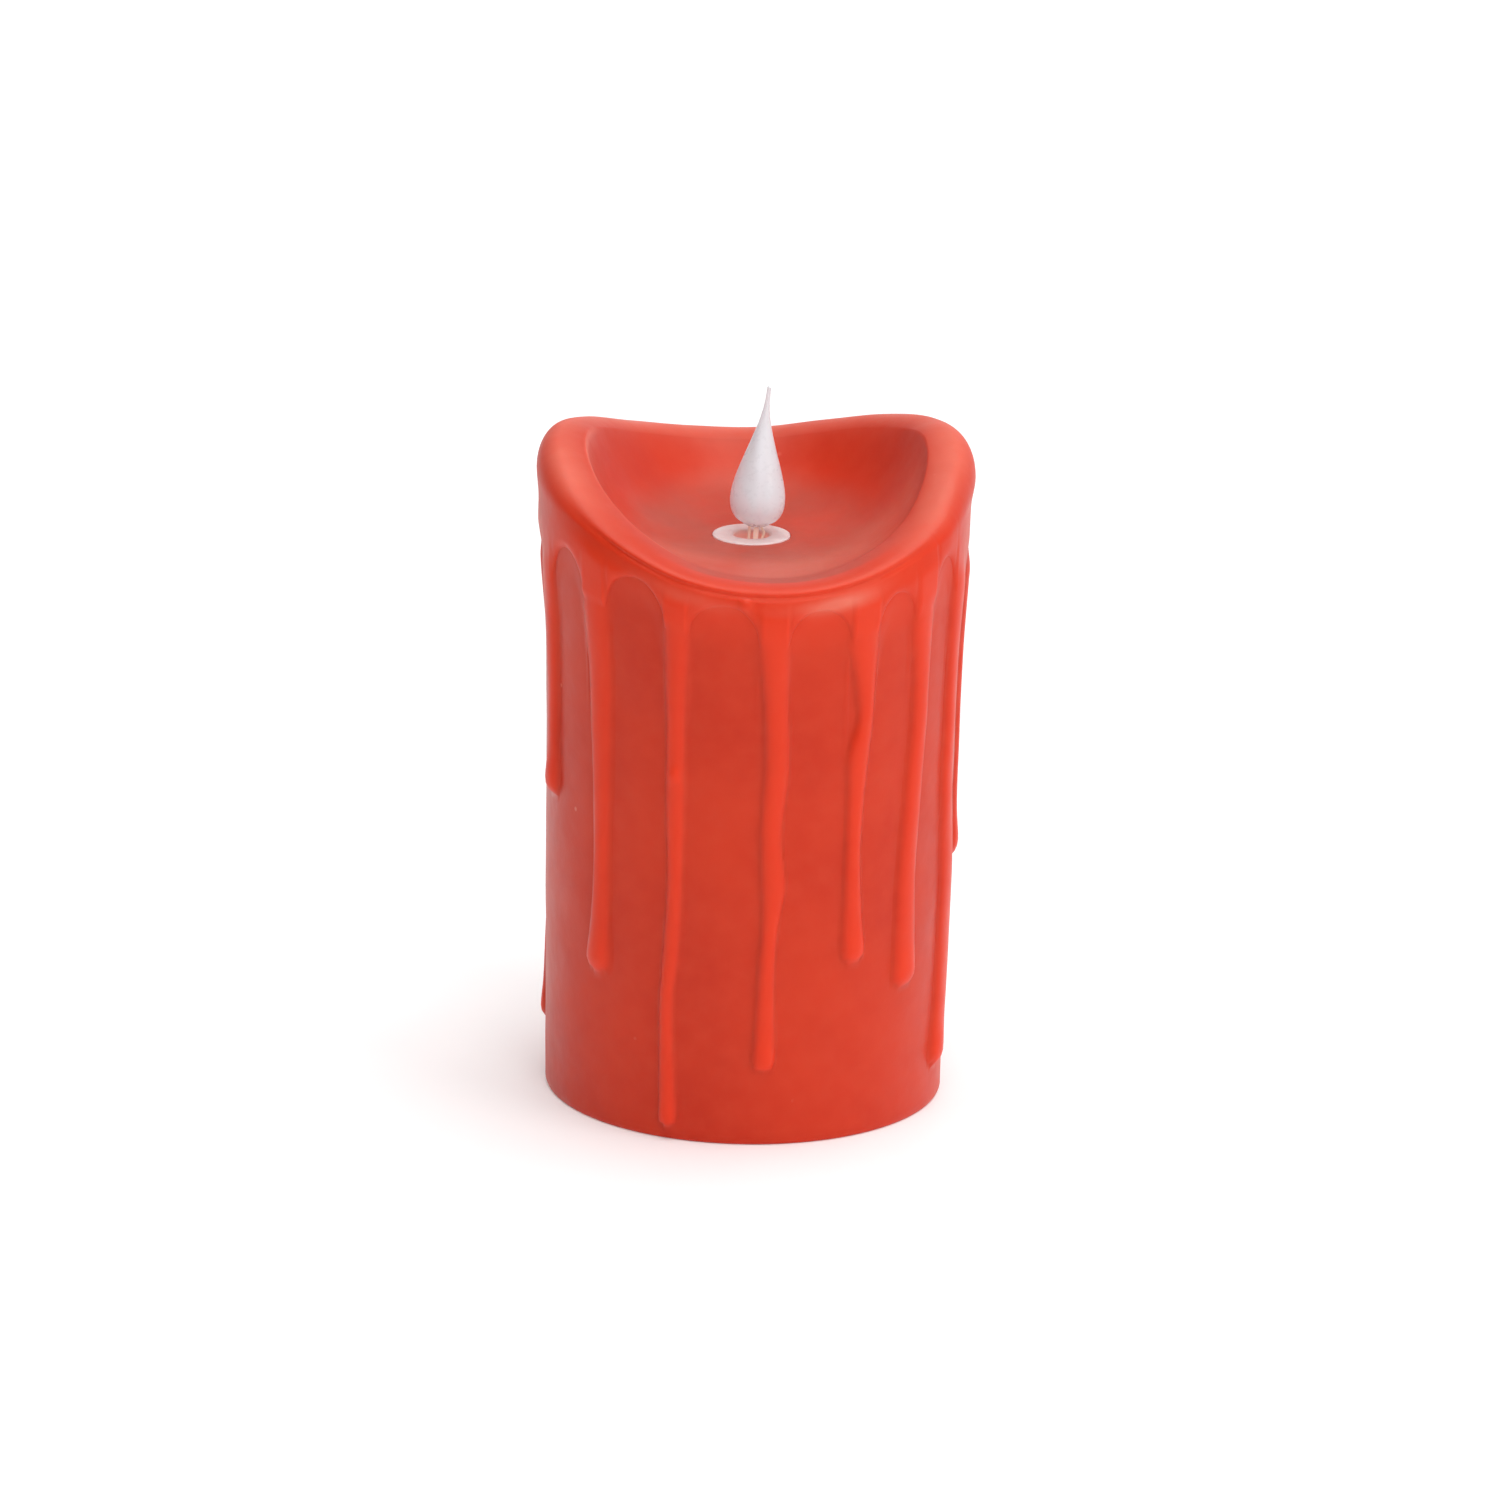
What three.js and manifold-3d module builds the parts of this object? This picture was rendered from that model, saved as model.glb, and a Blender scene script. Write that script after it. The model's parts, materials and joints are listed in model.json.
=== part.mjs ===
// A flameless LED pillar candle: a hollow shell of dripping wax with a scooped, wavy top, and a
// teardrop flame that sways on a pendulum. Inside the wax stand a plastic sleeve, a battery base for
// two AA cells and the flame mechanism, which an electromagnet under the pendulum's magnet drives.
//
// Units are millimetres. +Z is up, the origin is on the floor at the middle of the base, and -Y is
// the front. An angle round the candle is in degrees from the front, growing towards +X.

import * as THREE from 'three';
import { mergeVertices } from 'three/addons/utils/BufferGeometryUtils.js';
import Module from 'manifold-3d';

const wasm = await Module();
wasm.setup();

// ---------------------------------------------------------------- driving dimensions

const baseRadius = 38; // outer radius of the wax where it meets the floor
const boreRadius = 34.5; // hollow inside the wax
const boreTop = 101.5; // ceiling of that hollow
const poolHeight = 108.6; // wax surface round the flame
const collarTop = 108.8; // top face of the white ring round the flame
const gap = 0.3; // clearance between pieces that touch

const wax = {
  taper: 0.9 / 80, // growth of the radius with height
  flare: 1.2, // extra radius at the rim
  flareFrom: 80,
  flareOver: 40,
  edge: 1, // height of the overflow's rounded lower edge
  edgeOver: 1.9, // the distance in which it reaches that height
  softer: 1.6, // added to that distance on the right of the front
  fillet: 0.5, // height of the gentle slope below that edge
  filletOver: 5.2,
  thinned: 0.55, // lost again from the edge up to the lip
  leftFlank: 0.45, // share of that thickness that is missing on the left flank, under the lip
  rightFlank: 0.75, // the same on the right flank
  archRise: 7.5, // from the foot of an arch to its top
  drip: 1.5, // height of a drip above the body
  bulb: 0.45, // extra height at a drip's tip
  lip: 4.2, // from the outer shoulder in to the crest
  crease: 0.5, // depth of the groove under the front of the lip
  creaseDrop: 1.6, // from the crest down to that groove
  innerEdge: 32.2, // radius at which the lip drops into the bowl
  poolRadius: 9, // flat wax round the collar
};

// Height of the rim's crest every 20 degrees, from the front round through +X.
const rimHeights = [
  109.3, 109.7, 112.6, 117.4, 123.4, 127.4, 127.4, 125.2, 122.1,
  119.8, 120.4, 122.8, 126.0, 127.6, 125.6, 121.0, 115.8, 111.2,
];

// The drips, from the back round through -X, the front and +X. Each runs down a path of stations,
// [height, angle, width], to its tip; arch is the height of the overflow's edge before the next drip.
const drips = [
  { tip: 55, arch: 105, path: [[100, -166, 6], [88, -166, 4.2], [70, -165, 4.0], [58, -165, 5.4]] },
  { tip: 22, arch: 107, path: [[100, -143, 6], [80, -142, 4.0], [55, -144, 3.6], [25, -143, 5.0]] },
  { tip: 38, arch: 106, path: [[100, -120, 6], [85, -120, 4.4], [60, -119, 4.2], [41, -119, 5.8]] },
  { tip: 9, arch: 110, path: [[100, -101, 6], [80, -105, 4.4], [40, -106, 4.0], [12, -101, 5.2]] },
  { tip: 60.5, arch: 111, path: [[102, -71.5, 6.5], [85, -71, 4.8], [72, -71, 4.8], [63, -71, 5.8]] },
  {
    tip: 30,
    arch: 109.3,
    path: [
      [100, -46.6, 7.0], [90, -45.6, 6.2], [80, -45.2, 5.6], [64, -44.6, 4.6], [52, -44.7, 4.0],
      [42, -45.0, 4.8], [33, -45.6, 6.3],
    ],
  },
  {
    tip: 2.6,
    arch: 105.8,
    path: [
      [100, -20.4, 5.4], [88, -20.6, 4.3], [67, -20.5, 3.9], [50, -20.2, 3.2], [37, -21.1, 3.4],
      [28, -22.2, 3.0], [16, -21.9, 3.2], [4.5, -21.3, 3.8],
    ],
  },
  {
    tip: 14.7,
    arch: 104.9,
    path: [
      [99, 5.8, 6.2], [88, 6.7, 4.9], [76, 7.5, 4.9], [60, 6.3, 4.2], [50.5, 7.3, 4.7],
      [44, 6.6, 3.3], [36, 6.0, 3.2], [26, 5.8, 3.7], [17, 5.7, 4.3],
    ],
  },
  {
    tip: 35,
    arch: 106.5,
    path: [
      [97, 31.2, 6.6], [89, 32.4, 4.4], [83, 32.8, 3.5], [76, 31.0, 4.7], [68, 30.5, 3.8],
      [55, 30.2, 3.5], [44, 30.7, 4.4], [37.5, 31.2, 5.2],
    ],
  },
  {
    tip: 27.7,
    arch: 110.5,
    path: [
      [98, 52.2, 6.2], [88, 53.2, 4.7], [80, 53.2, 4.6], [66, 51.6, 4.8], [53, 50.4, 5.2],
      [31, 50.5, 6.2],
    ],
  },
  {
    tip: 7.9,
    arch: 108,
    path: [
      [100, 71.8, 6.4], [85, 72.2, 5.2], [62, 72.3, 5.4], [48, 75.3, 7.2], [25, 74.4, 6.8],
      [11, 71.6, 6.2],
    ],
  },
  { tip: 45, arch: 106, path: [[100, 97, 6], [85, 97, 4.6], [65, 97.2, 4.4], [48, 95, 6.4]] },
  { tip: 66, arch: 105, path: [[100, 122, 6], [88, 122, 4.2], [78, 121, 4.0], [69, 121, 5.6]] },
  { tip: 30, arch: 106, path: [[100, 147, 6], [80, 147, 4.2], [55, 148, 3.9], [33, 147, 5.4]] },
  { tip: 12, arch: 104, path: [[100, 170, 6], [80, 170, 4.0], [45, 169, 3.6], [15, 170, 4.8]] },
];

const base = {
  radius: 34.2,
  bottom: 0.8, // the plastic base is this far above the floor
  plate: 2, // thickness of the base plate
  rimRadius: 32.4,
  rimTop: 9,
  wall: 1.5,
};

const well = { halfX: 28.7, halfY: 15.4, top: 17.9, wall: 1.4, ceiling: 1.6 };

const door = { halfX: 28.3, halfY: 15.1, thickness: 1.6, hingeX: 28.5 };

const cell = { radius: 7.1, can: 49.3, nubRadius: 2.7, nub: 1, y: 7.6, z: 10.25 };

const contact = { thickness: 0.4, halfWidth: 4.4, bottom: 6, top: 15, tabTop: 21, tabHalf: 1.2 };

const spring = { wire: 0.35, wide: 3.9, narrow: 2.5, turns: 3.5 };

const slide = { y: -24.8, travel: 2, knobX: 2, knobY: 1.3 }; // the slide switch under the base

const sleeve = { radius: 34.2, wall: 1.5, bottom: 3.1, deckBottom: 98.8, deckTop: 101.2 };

const baseScrewSpot = { x: 15.8, y: 22.4 };

const mechanism = {
  x: -0.65, // the flame's mechanism sits a little to the left of the candle's own axis
  radius: 13.5,
  wall: 1.4,
  bottom: 50,
  shoulder: 92,
  neckRadius: 6.6,
  neckBore: 5.4,
  neckTop: 107.4,
  ledge: 59.7, // the circuit board's seat
  earY: 19,
  earBottom: 87.8,
  earTop: 89.8,
  sideEarX: 15.8,
  sideEarZ: 78,
};

const board = { radius: 11.7, bottom: 60, top: 61.2 };
const coil = {
  bottom: 61.5, top: 68.5, flange: 0.9, flangeRadius: 8.5, core: 2.6, bore: 1.4, radius: 7.6, pegX: 6.5,
};

const collar = { radius: 7.35, hole: 3.4, flange: 0.8, skirtRadius: 5.1, skirtBottom: 102.5 };

// The pendulum. Its heights are measured from the pivot, along its own axis.
const pivot = { height: 94.5, wireRadius: 0.4, halfLength: 6.3, seat: 0.62, lean: 3.3 };
const pendulum = {
  hubRadius: 1.9,
  hubHalf: 1.5,
  hole: 0.75,
  webX: 0.45,
  webY: 0.8,
  webTop: 15.7,
  cupRadius: 4.2,
  cupTop: -19.5,
  cupBottom: -24.1,
  magnetRadius: 3.5,
  legX: 1.27,
  legHalf: 0.24,
  legBottom: 3.2,
};
const flame = {
  bottom: 16.1,
  height: 27.1,
  radius: 5.2,
  point: 0.42, // radius of the rounded tip
  blunt: 0.42, // how bluntly the outline starts below
  taper: 1.9, // how finely it is drawn out above
  wall: 0.85,
  mouth: 2,
};

// ---------------------------------------------------------------- materials

const material = (color, roughness, metalness = 0, extra = {}) =>
  new THREE.MeshStandardMaterial({ color, roughness, metalness, ...extra });

const materials = {
  wax: material(0xd8412c, 0.42),
  basePlastic: material(0xc23a28, 0.5),
  whitePlastic: material(0xf0ece6, 0.45),
  stemPlastic: material(0xe2b8a8, 0.45),
  blackPlastic: material(0x1d1d1f, 0.5),
  flame: material(0xece6e4, 0.3),
  ledEpoxy: material(0xf4e8b8, 0.15),
  brass: material(0xc9a56a, 0.3, 1),
  steel: material(0xb9bcc0, 0.3, 1),
  copper: material(0xb8662e, 0.35, 1),
  circuitBoard: material(0x2b6b3a, 0.5),
  batteryJacket: material(0x2f3238, 0.35),
  redLead: material(0xb02020, 0.5),
  blackLead: material(0x202020, 0.5),
};

// ---------------------------------------------------------------- solids

const candle = new THREE.Group();

// A closed three.js geometry as a manifold-3d solid.
function solid(geometry) {
  const bare = geometry.index ? geometry.toNonIndexed() : geometry.clone();
  bare.deleteAttribute('normal');
  bare.deleteAttribute('uv');
  const merged = mergeVertices(bare, 1e-4);
  return new wasm.Manifold(
    new wasm.Mesh({
      numProp: 3,
      vertProperties: merged.attributes.position.array,
      triVerts: new Uint32Array(merged.index.array),
    }),
  );
}

function geometryOf(made) {
  const mesh = made.getMesh();
  const geometry = new THREE.BufferGeometry();
  geometry.setAttribute('position', new THREE.BufferAttribute(mesh.vertProperties, 3));
  geometry.setIndex(new THREE.BufferAttribute(mesh.triVerts, 1));
  geometry.computeVertexNormals();
  return geometry;
}

const join = (first, ...rest) => rest.reduce((sum, next) => sum.add(next), first);
const cut = (first, ...rest) => rest.reduce((left, next) => left.subtract(next), first);

function piece(name, made, surface, parent = candle) {
  const mesh = new THREE.Mesh(geometryOf(made), surface);
  mesh.name = name;
  parent.add(mesh);
  return mesh;
}

// A box between two heights, centred on a point.
function block(centreX, centreY, halfX, halfY, bottom, top) {
  const box = new THREE.BoxGeometry(2 * halfX, 2 * halfY, top - bottom);
  return solid(box.translate(centreX, centreY, (bottom + top) / 2));
}

// A solid turned about +Z from its outline, [radius, height] points that run anticlockwise.
function turned(outline, segments = 24) {
  const points = outline.map(([radius, height]) => new THREE.Vector2(radius, height));
  return solid(new THREE.LatheGeometry(points, segments).rotateX(Math.PI / 2));
}

function rod(radius, bottom, top, segments = 24) {
  return turned([[0, bottom], [radius, bottom], [radius, top], [0, top]], segments);
}

function tube(radius, bore, bottom, top, segments = 48) {
  return turned([[bore, bottom], [radius, bottom], [radius, top], [bore, top], [bore, bottom]], segments);
}

const along = { x: [0, 90, 0], y: [90, 0, 0] }; // turns that lay a +Z solid along +X, or along -Y

// A round wire of even thickness along a smooth curve through points.
function wire(points, radius, steps, sides) {
  const curve = new THREE.CatmullRomCurve3(points.map((point) => new THREE.Vector3(...point)));
  const section = new THREE.Shape();
  for (let i = 0; i < sides; i += 1) {
    const angle = (2 * Math.PI * i) / sides;
    const [x, y] = [radius * Math.cos(angle), radius * Math.sin(angle)];
    if (i === 0) section.moveTo(x, y);
    else section.lineTo(x, y);
  }
  return solid(new THREE.ExtrudeGeometry(section, { steps, extrudePath: curve, bevelEnabled: false }));
}

// A pan-head self-tapping screw that points up +Z, with a cross recess. Its head's underside is at 0.
function screw(length, headRadius = 2.3, headHeight = 1.5, shankRadius = 1) {
  const body = turned([
    [0, -headHeight],
    [0.6 * headRadius, -headHeight],
    [headRadius, -0.45 * headHeight],
    [headRadius, 0],
    [shankRadius, 0],
    [shankRadius, length - 1.2],
    [0, length],
  ], 18);
  const slot = 0.55 * headRadius;
  return cut(
    body,
    block(0, 0, slot, 0.25, -headHeight - 1, -0.45 * headHeight),
    block(0, 0, 0.25, slot, -headHeight - 1, -0.45 * headHeight),
  );
}

// ---------------------------------------------------------------- wax shell

const radians = THREE.MathUtils.degToRad;
const degrees = THREE.MathUtils.radToDeg;
const { clamp, smoothstep, lerp } = THREE.MathUtils;

const forward = (turn) => ((turn % 360) + 360) % 360; // into 0 to 360
const around = (turn) => forward(turn + 180) - 180; // into -180 to 180

// The crest's height at an angle: a smooth closed curve through rimHeights.
function crestHeight(angle) {
  const count = rimHeights.length;
  const place = (forward(angle) / 360) * count;
  const i = Math.floor(place);
  const t = place - i;
  const [a, b, c, d] = [-1, 0, 1, 2].map((k) => rimHeights[(i + k + count) % count]);
  const bend = (2 * a - 5 * b + 4 * c - d) * t ** 2 + (3 * b - a - 3 * c + d) * t ** 3;
  return 0.5 * (2 * b + (c - a) * t + bend);
}

function bodyRadius(height) {
  const flare = wax.flare * smoothstep(height, wax.flareFrom, wax.flareFrom + wax.flareOver);
  return baseRadius + wax.taper * height + flare;
}

// The angle (column 1) or the width (column 2) of a drip at a height: a smooth curve through the
// stations of its path, which run downwards.
function alongPath(path, column, height) {
  const heights = path.map((station) => station[0]);
  const values = path.map((station) => station[column]);
  const last = path.length - 1;
  const secant = (i) => (values[i + 1] - values[i]) / (heights[i + 1] - heights[i]);
  const slope = (i) => {
    if (i === 0) return secant(0);
    if (i === last) return secant(last - 1);
    const [above, below] = [heights[i - 1] - heights[i], heights[i] - heights[i + 1]];
    return (secant(i - 1) * below + secant(i) * above) / (above + below);
  };
  const level = clamp(height, heights[last], heights[0]);
  const i = Math.min(last - 1, heights.findLastIndex((top) => top >= level));
  const step = heights[i + 1] - heights[i];
  const t = (level - heights[i]) / step;
  const bend = (t ** 3 - 2 * t ** 2 + t) * slope(i) + (t ** 3 - t ** 2) * slope(i + 1);
  return values[i] + (3 * t ** 2 - 2 * t ** 3) * (values[i + 1] - values[i]) + step * bend;
}

// Height of one drip above the body at a point: a rounded strand with a fuller, round tip.
function dripThickness(drip, angle, height) {
  const half = alongPath(drip.path, 2, height) / 2;
  const across = radians(around(angle - alongPath(drip.path, 1, height))) * bodyRadius(height);
  const tipCentre = drip.tip + drip.path.at(-1)[2] / 2;
  const depth = half - Math.hypot(across, Math.max(0, tipCentre - height));
  const swell = Math.exp(-(((height - tipCentre) / 4) ** 2));
  const round = Math.sqrt(1 - (1 - clamp(depth / half, 0, 1)) ** 2.2);
  return (wax.drip + wax.bulb * swell) * round;
}

// Angle of the middle of the gap that follows each drip.
const gapMiddles = drips.map((drip, i) => {
  const [top, nextTop] = [drip.path[0][1], drips[(i + 1) % drips.length].path[0][1]];
  return top + forward(nextTop - top) / 2;
});

// The overflow's lower edge: its height, and the level of the round arch that it belongs to. An arch
// spans each gap and springs from the drips on both sides.
function overflowEdge(angle) {
  for (const [i, drip] of drips.entries()) {
    const [, top, width] = drip.path[0];
    const [before, after] = [forward(top - gapMiddles.at(i - 1)), forward(gapMiddles[i] - top)];
    const offset = around(angle - top);
    const share = (offset + before) / (before + after);
    if (share < -1e-9 || share > 1 + 1e-9) continue;
    const level = lerp(drips.at(i - 1).arch, drip.arch, smoothstep(share, 0, 1));
    const reach = offset < 0 ? before : after;
    const side = (reach - Math.abs(offset)) / (reach - degrees((0.42 * width) / baseRadius));
    const fall = 1 - Math.sqrt(1 - clamp(side, 0, 1) ** 2);
    return { edge: level - wax.archRise * fall, level };
  }
  throw new Error('an angle lies in no gap');
}

// Distance of a point above the overflow's edge, measured square to that edge.
function aboveEdge(angle, height) {
  const step = 0.25;
  const rise = overflowEdge(angle + step).edge - overflowEdge(angle - step).edge;
  return (height - overflowEdge(angle).edge) / Math.hypot(1, rise / radians(2 * step) / baseRadius);
}

// 1 where the lip is low and narrow, fading to 0 at the sides.
const inFront = (angle) => 1 - smoothstep(Math.abs(around(angle)), 38, 68);

// 1 on the right half of the front, where the arches are soft, fading to 0 outside it.
function toTheRight(angle) {
  const turn = around(angle);
  return smoothstep(turn, -34, -8) * (1 - smoothstep(turn, 55, 75));
}

// The share of the band that is missing on the flanks, under the lip: more on the right.
function flankLoss(angle, height) {
  const turn = around(angle);
  const away = Math.abs(turn);
  const sides = smoothstep(away, 55, 85) * (1 - smoothstep(away, 105, 135));
  const most = turn > 0 ? wax.rightFlank : wax.leftFlank;
  return most * sides * (1 - smoothstep(height, 115, 122));
}

// Thickness of the wax that has run over the body at a point: a band below the lip, and the drips.
function overflow(angle, height) {
  const above = aboveEdge(angle, height);
  const { level } = overflowEdge(angle);
  const over = wax.edgeOver + wax.softer * toTheRight(angle);
  const step = wax.edge * Math.sqrt(1 - (1 - clamp(above / over, 0, 1)) ** 2);
  const slope = wax.fillet * smoothstep(above, -wax.filletOver, 0.4);
  const thinned = wax.thinned * smoothstep(height - level, -2, 8);
  const nearLip = smoothstep(height - crestHeight(angle), -6.5, -wax.creaseDrop);
  const left = (1 - 0.85 * inFront(angle) * nearLip) * (1 - flankLoss(angle, height));
  const band = (step + slope - thinned) * left;
  const fade = 1 - smoothstep(height - level, -6, 3);
  const run = fade * Math.max(...drips.map((drip) => dripThickness(drip, angle, height)));
  return (band + run + Math.sqrt((band - run) ** 2 + 0.09) - 0.3) / 2;
}

const outerRadius = (angle, height) => bodyRadius(height) + overflow(angle, height);

// Depth of the groove that runs round the front, between the lip and the overflow.
function creaseDepth(angle, belowCrest) {
  return wax.crease * inFront(angle) * Math.exp(-(((belowCrest - wax.creaseDrop) / 0.5) ** 2));
}

// How far the outer shoulder lies under the crest: tight in front, full at the sides and back.
const shoulderDrop = (angle) => 1.7 + 3.7 * smoothstep(Math.abs(around(angle)), 35, 85);

// The bowl's height at a radius. In front and at the sides the lip drops crisply into it at the inner
// edge; at the back the slope from the crest is soft all the way.
function bowlHeight(angle, radius, crestRadius) {
  const crest = crestHeight(angle);
  const roll = 0.25 + 0.5 * smoothstep(crest - poolHeight, 2, 9);
  const outward = clamp((radius - wax.innerEdge) / (crestRadius - wax.innerEdge), 0, 1);
  const inward = clamp((wax.innerEdge - radius) / (wax.innerEdge - wax.poolRadius), 0, 1);
  const fall = roll * (1 - outward) ** 2;
  const crisp = outward > 0 ? crest - fall : lerp(poolHeight, crest - roll, (1 - inward) ** 3);
  const left = (share) => 1 / (1 + (share / 0.36) ** 2.8);
  const inside = (crestRadius - radius) / (crestRadius - collar.radius);
  const soft = lerp(poolHeight, crest, clamp((left(inside) - left(1)) / (1 - left(1)), 0, 1));
  return lerp(crisp, soft, smoothstep(Math.abs(around(angle)), 95, 135));
}

// Heights of a column's rows up the wall: closest together round the tip of the drip that it follows,
// and round the overflow's edge.
function wallHeights(edge, shoulder, tip) {
  const high = Math.min(edge + 2, shoulder - 0.5);
  const stretches = [
    [0.6, tip, 3], [tip, tip + 5, 3], [tip + 5, edge - 6, 5], [edge - 6, edge - 0.4, 3],
    [edge - 0.4, high, 4], [high, shoulder, 3],
  ];
  const rows = stretches.flatMap(([from, to, count]) =>
    Array.from({ length: count }, (_, i) => lerp(from, to, i / count)));
  return [...rows, shoulder];
}

// The points of one column of the wax, [radius, height, angle], from the floor up the wall, over the
// lip and in to the pool. The column's angle changes with height as it follows a drip.
function waxColumn({ angleAt, tip }) {
  const top = angleAt(100);
  const crest = crestHeight(top);
  const drop = shoulderDrop(top);
  const shoulder = crest - drop;
  const points = [[baseRadius - 0.5, 0, angleAt(0)]];
  wallHeights(overflowEdge(top).edge, shoulder, tip).forEach((height) => {
    const angle = angleAt(height);
    points.push([outerRadius(angle, height) - creaseDepth(angle, crest - height), height, angle]);
  });
  const rim = outerRadius(top, shoulder);
  [0.25, 0.5, 0.75, 1].forEach((share) => {
    const turn = (share * Math.PI) / 2;
    const height = shoulder + drop * Math.sin(turn);
    points.push([rim - wax.lip * (1 - Math.cos(turn)) - creaseDepth(top, crest - height), height, top]);
  });
  const crestRadius = rim - wax.lip;
  const edgeShares = [0.5, 0.85, 1];
  const bowlShares = [0.04, 0.12, 0.23, 0.37, 0.55, 0.76];
  const radii = edgeShares.map((share) => lerp(crestRadius, wax.innerEdge, share))
    .concat(bowlShares.map((share) => lerp(wax.innerEdge, wax.poolRadius, share)), [6]);
  radii.forEach((radius) => points.push([radius, bowlHeight(top, radius, crestRadius), top]));
  return points;
}

// The wax's columns: six that follow each drip down, and four across the gap to the next one.
function waxColumns() {
  return drips.flatMap((drip, i) => {
    const next = drips[(i + 1) % drips.length];
    const beside = (each, place) => (height) => {
      const half = alongPath(each.path, 2, height) / 2 / bodyRadius(height);
      return alongPath(each.path, 1, height) + place * degrees(half);
    };
    const across = [-1, -0.78, -0.28, 0.28, 0.78, 1].map((place) =>
      ({ angleAt: beside(drip, place), tip: drip.tip }));
    const [from, to] = [beside(drip, 1), beside(next, -1)];
    const between = [0.12, 0.36, 0.64, 0.88].map((share) => ({
      angleAt: (height) => from(height) + share * forward(to(height) - from(height)),
      tip: share < 0.5 ? drip.tip : next.tip,
    }));
    return [...across, ...between];
  });
}

function waxShell() {
  const columns = waxColumns().map(waxColumn);
  const rows = columns[0].length;
  const positions = columns.flat().flatMap(([radius, height, angle]) =>
    [radius * Math.sin(radians(angle)), -radius * Math.cos(radians(angle)), height]);
  positions.push(0, 0, 0, 0, 0, poolHeight);
  const [floorCentre, poolCentre] = [columns.length * rows, columns.length * rows + 1];
  const faces = [];
  columns.forEach((_, i) => {
    const [here, there] = [i * rows, ((i + 1) % columns.length) * rows];
    for (let j = 0; j < rows - 1; j += 1) {
      faces.push(here + j, there + j, there + j + 1, here + j, there + j + 1, here + j + 1);
    }
    faces.push(there, here, floorCentre, here + rows - 1, there + rows - 1, poolCentre);
  });
  const skin = new THREE.BufferGeometry();
  skin.setAttribute('position', new THREE.Float32BufferAttribute(positions, 3));
  skin.setIndex(faces);
  const neckHole = rod(mechanism.neckRadius + 0.4, boreTop - 1, poolHeight + 5, 32);
  const collarSeat = rod(collar.radius + gap, collarTop - collar.flange - gap, poolHeight + 5, 40);
  return cut(
    solid(skin),
    rod(boreRadius, -1, boreTop, 64),
    neckHole.translate([mechanism.x, 0, 0]),
    collarSeat.translate([mechanism.x, 0, 0]),
  );
}

// ---------------------------------------------------------------- sleeve and base

const corners = [[1, 1], [-1, 1], [-1, -1], [1, -1]];
const plateTop = base.bottom + base.plate;
const headSeat = base.bottom + 2.1;
const baseBossTop = headSeat + 2.1;

// The sleeve stands inside the wax: a wall, a deck that carries the mechanism, and screw bosses.
function coreSleeve() {
  const inside = sleeve.radius - sleeve.wall;
  const shell = cut(
    rod(sleeve.radius, sleeve.bottom, sleeve.deckTop, 48),
    rod(inside, sleeve.bottom - 1, sleeve.deckBottom, 48),
  );
  const neckHole = rod(mechanism.neckRadius + 0.4, sleeve.deckBottom - 1, sleeve.deckTop + 1, 32)
    .translate([mechanism.x, 0, 0]);
  const bossBottom = baseBossTop + gap;
  const bosses = corners.map(([sx, sy]) => {
    const reach = inside + 0.5 - Math.hypot(baseScrewSpot.x, baseScrewSpot.y);
    const rib = block(0, 0, reach / 2, 0.8, base.rimTop + gap, 26)
      .translate([Math.hypot(baseScrewSpot.x, baseScrewSpot.y) + reach / 2, 0, 0])
      .rotate([0, 0, THREE.MathUtils.radToDeg(Math.atan2(sy * baseScrewSpot.y, sx * baseScrewSpot.x))]);
    return join(rod(3, bossBottom, 26, 12).translate([sx * baseScrewSpot.x, sy * baseScrewSpot.y, 0]), rib);
  });
  const pilots = corners.map(([sx, sy]) =>
    rod(1.3, bossBottom - 1, 18, 8).translate([sx * baseScrewSpot.x, sy * baseScrewSpot.y, 0]));
  const atEars = (made) => [1, -1].map((side) => made.translate([mechanism.x, side * mechanism.earY, 0]));
  const hangers = atEars(rod(3, mechanism.earTop + gap, sleeve.deckBottom + 0.5, 12));
  const hangerPilots = atEars(rod(1.3, mechanism.earTop - 1, sleeve.deckBottom, 8));
  return cut(join(shell, ...bosses, ...hangers), neckHole, ...pilots, ...hangerPilots);
}

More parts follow.
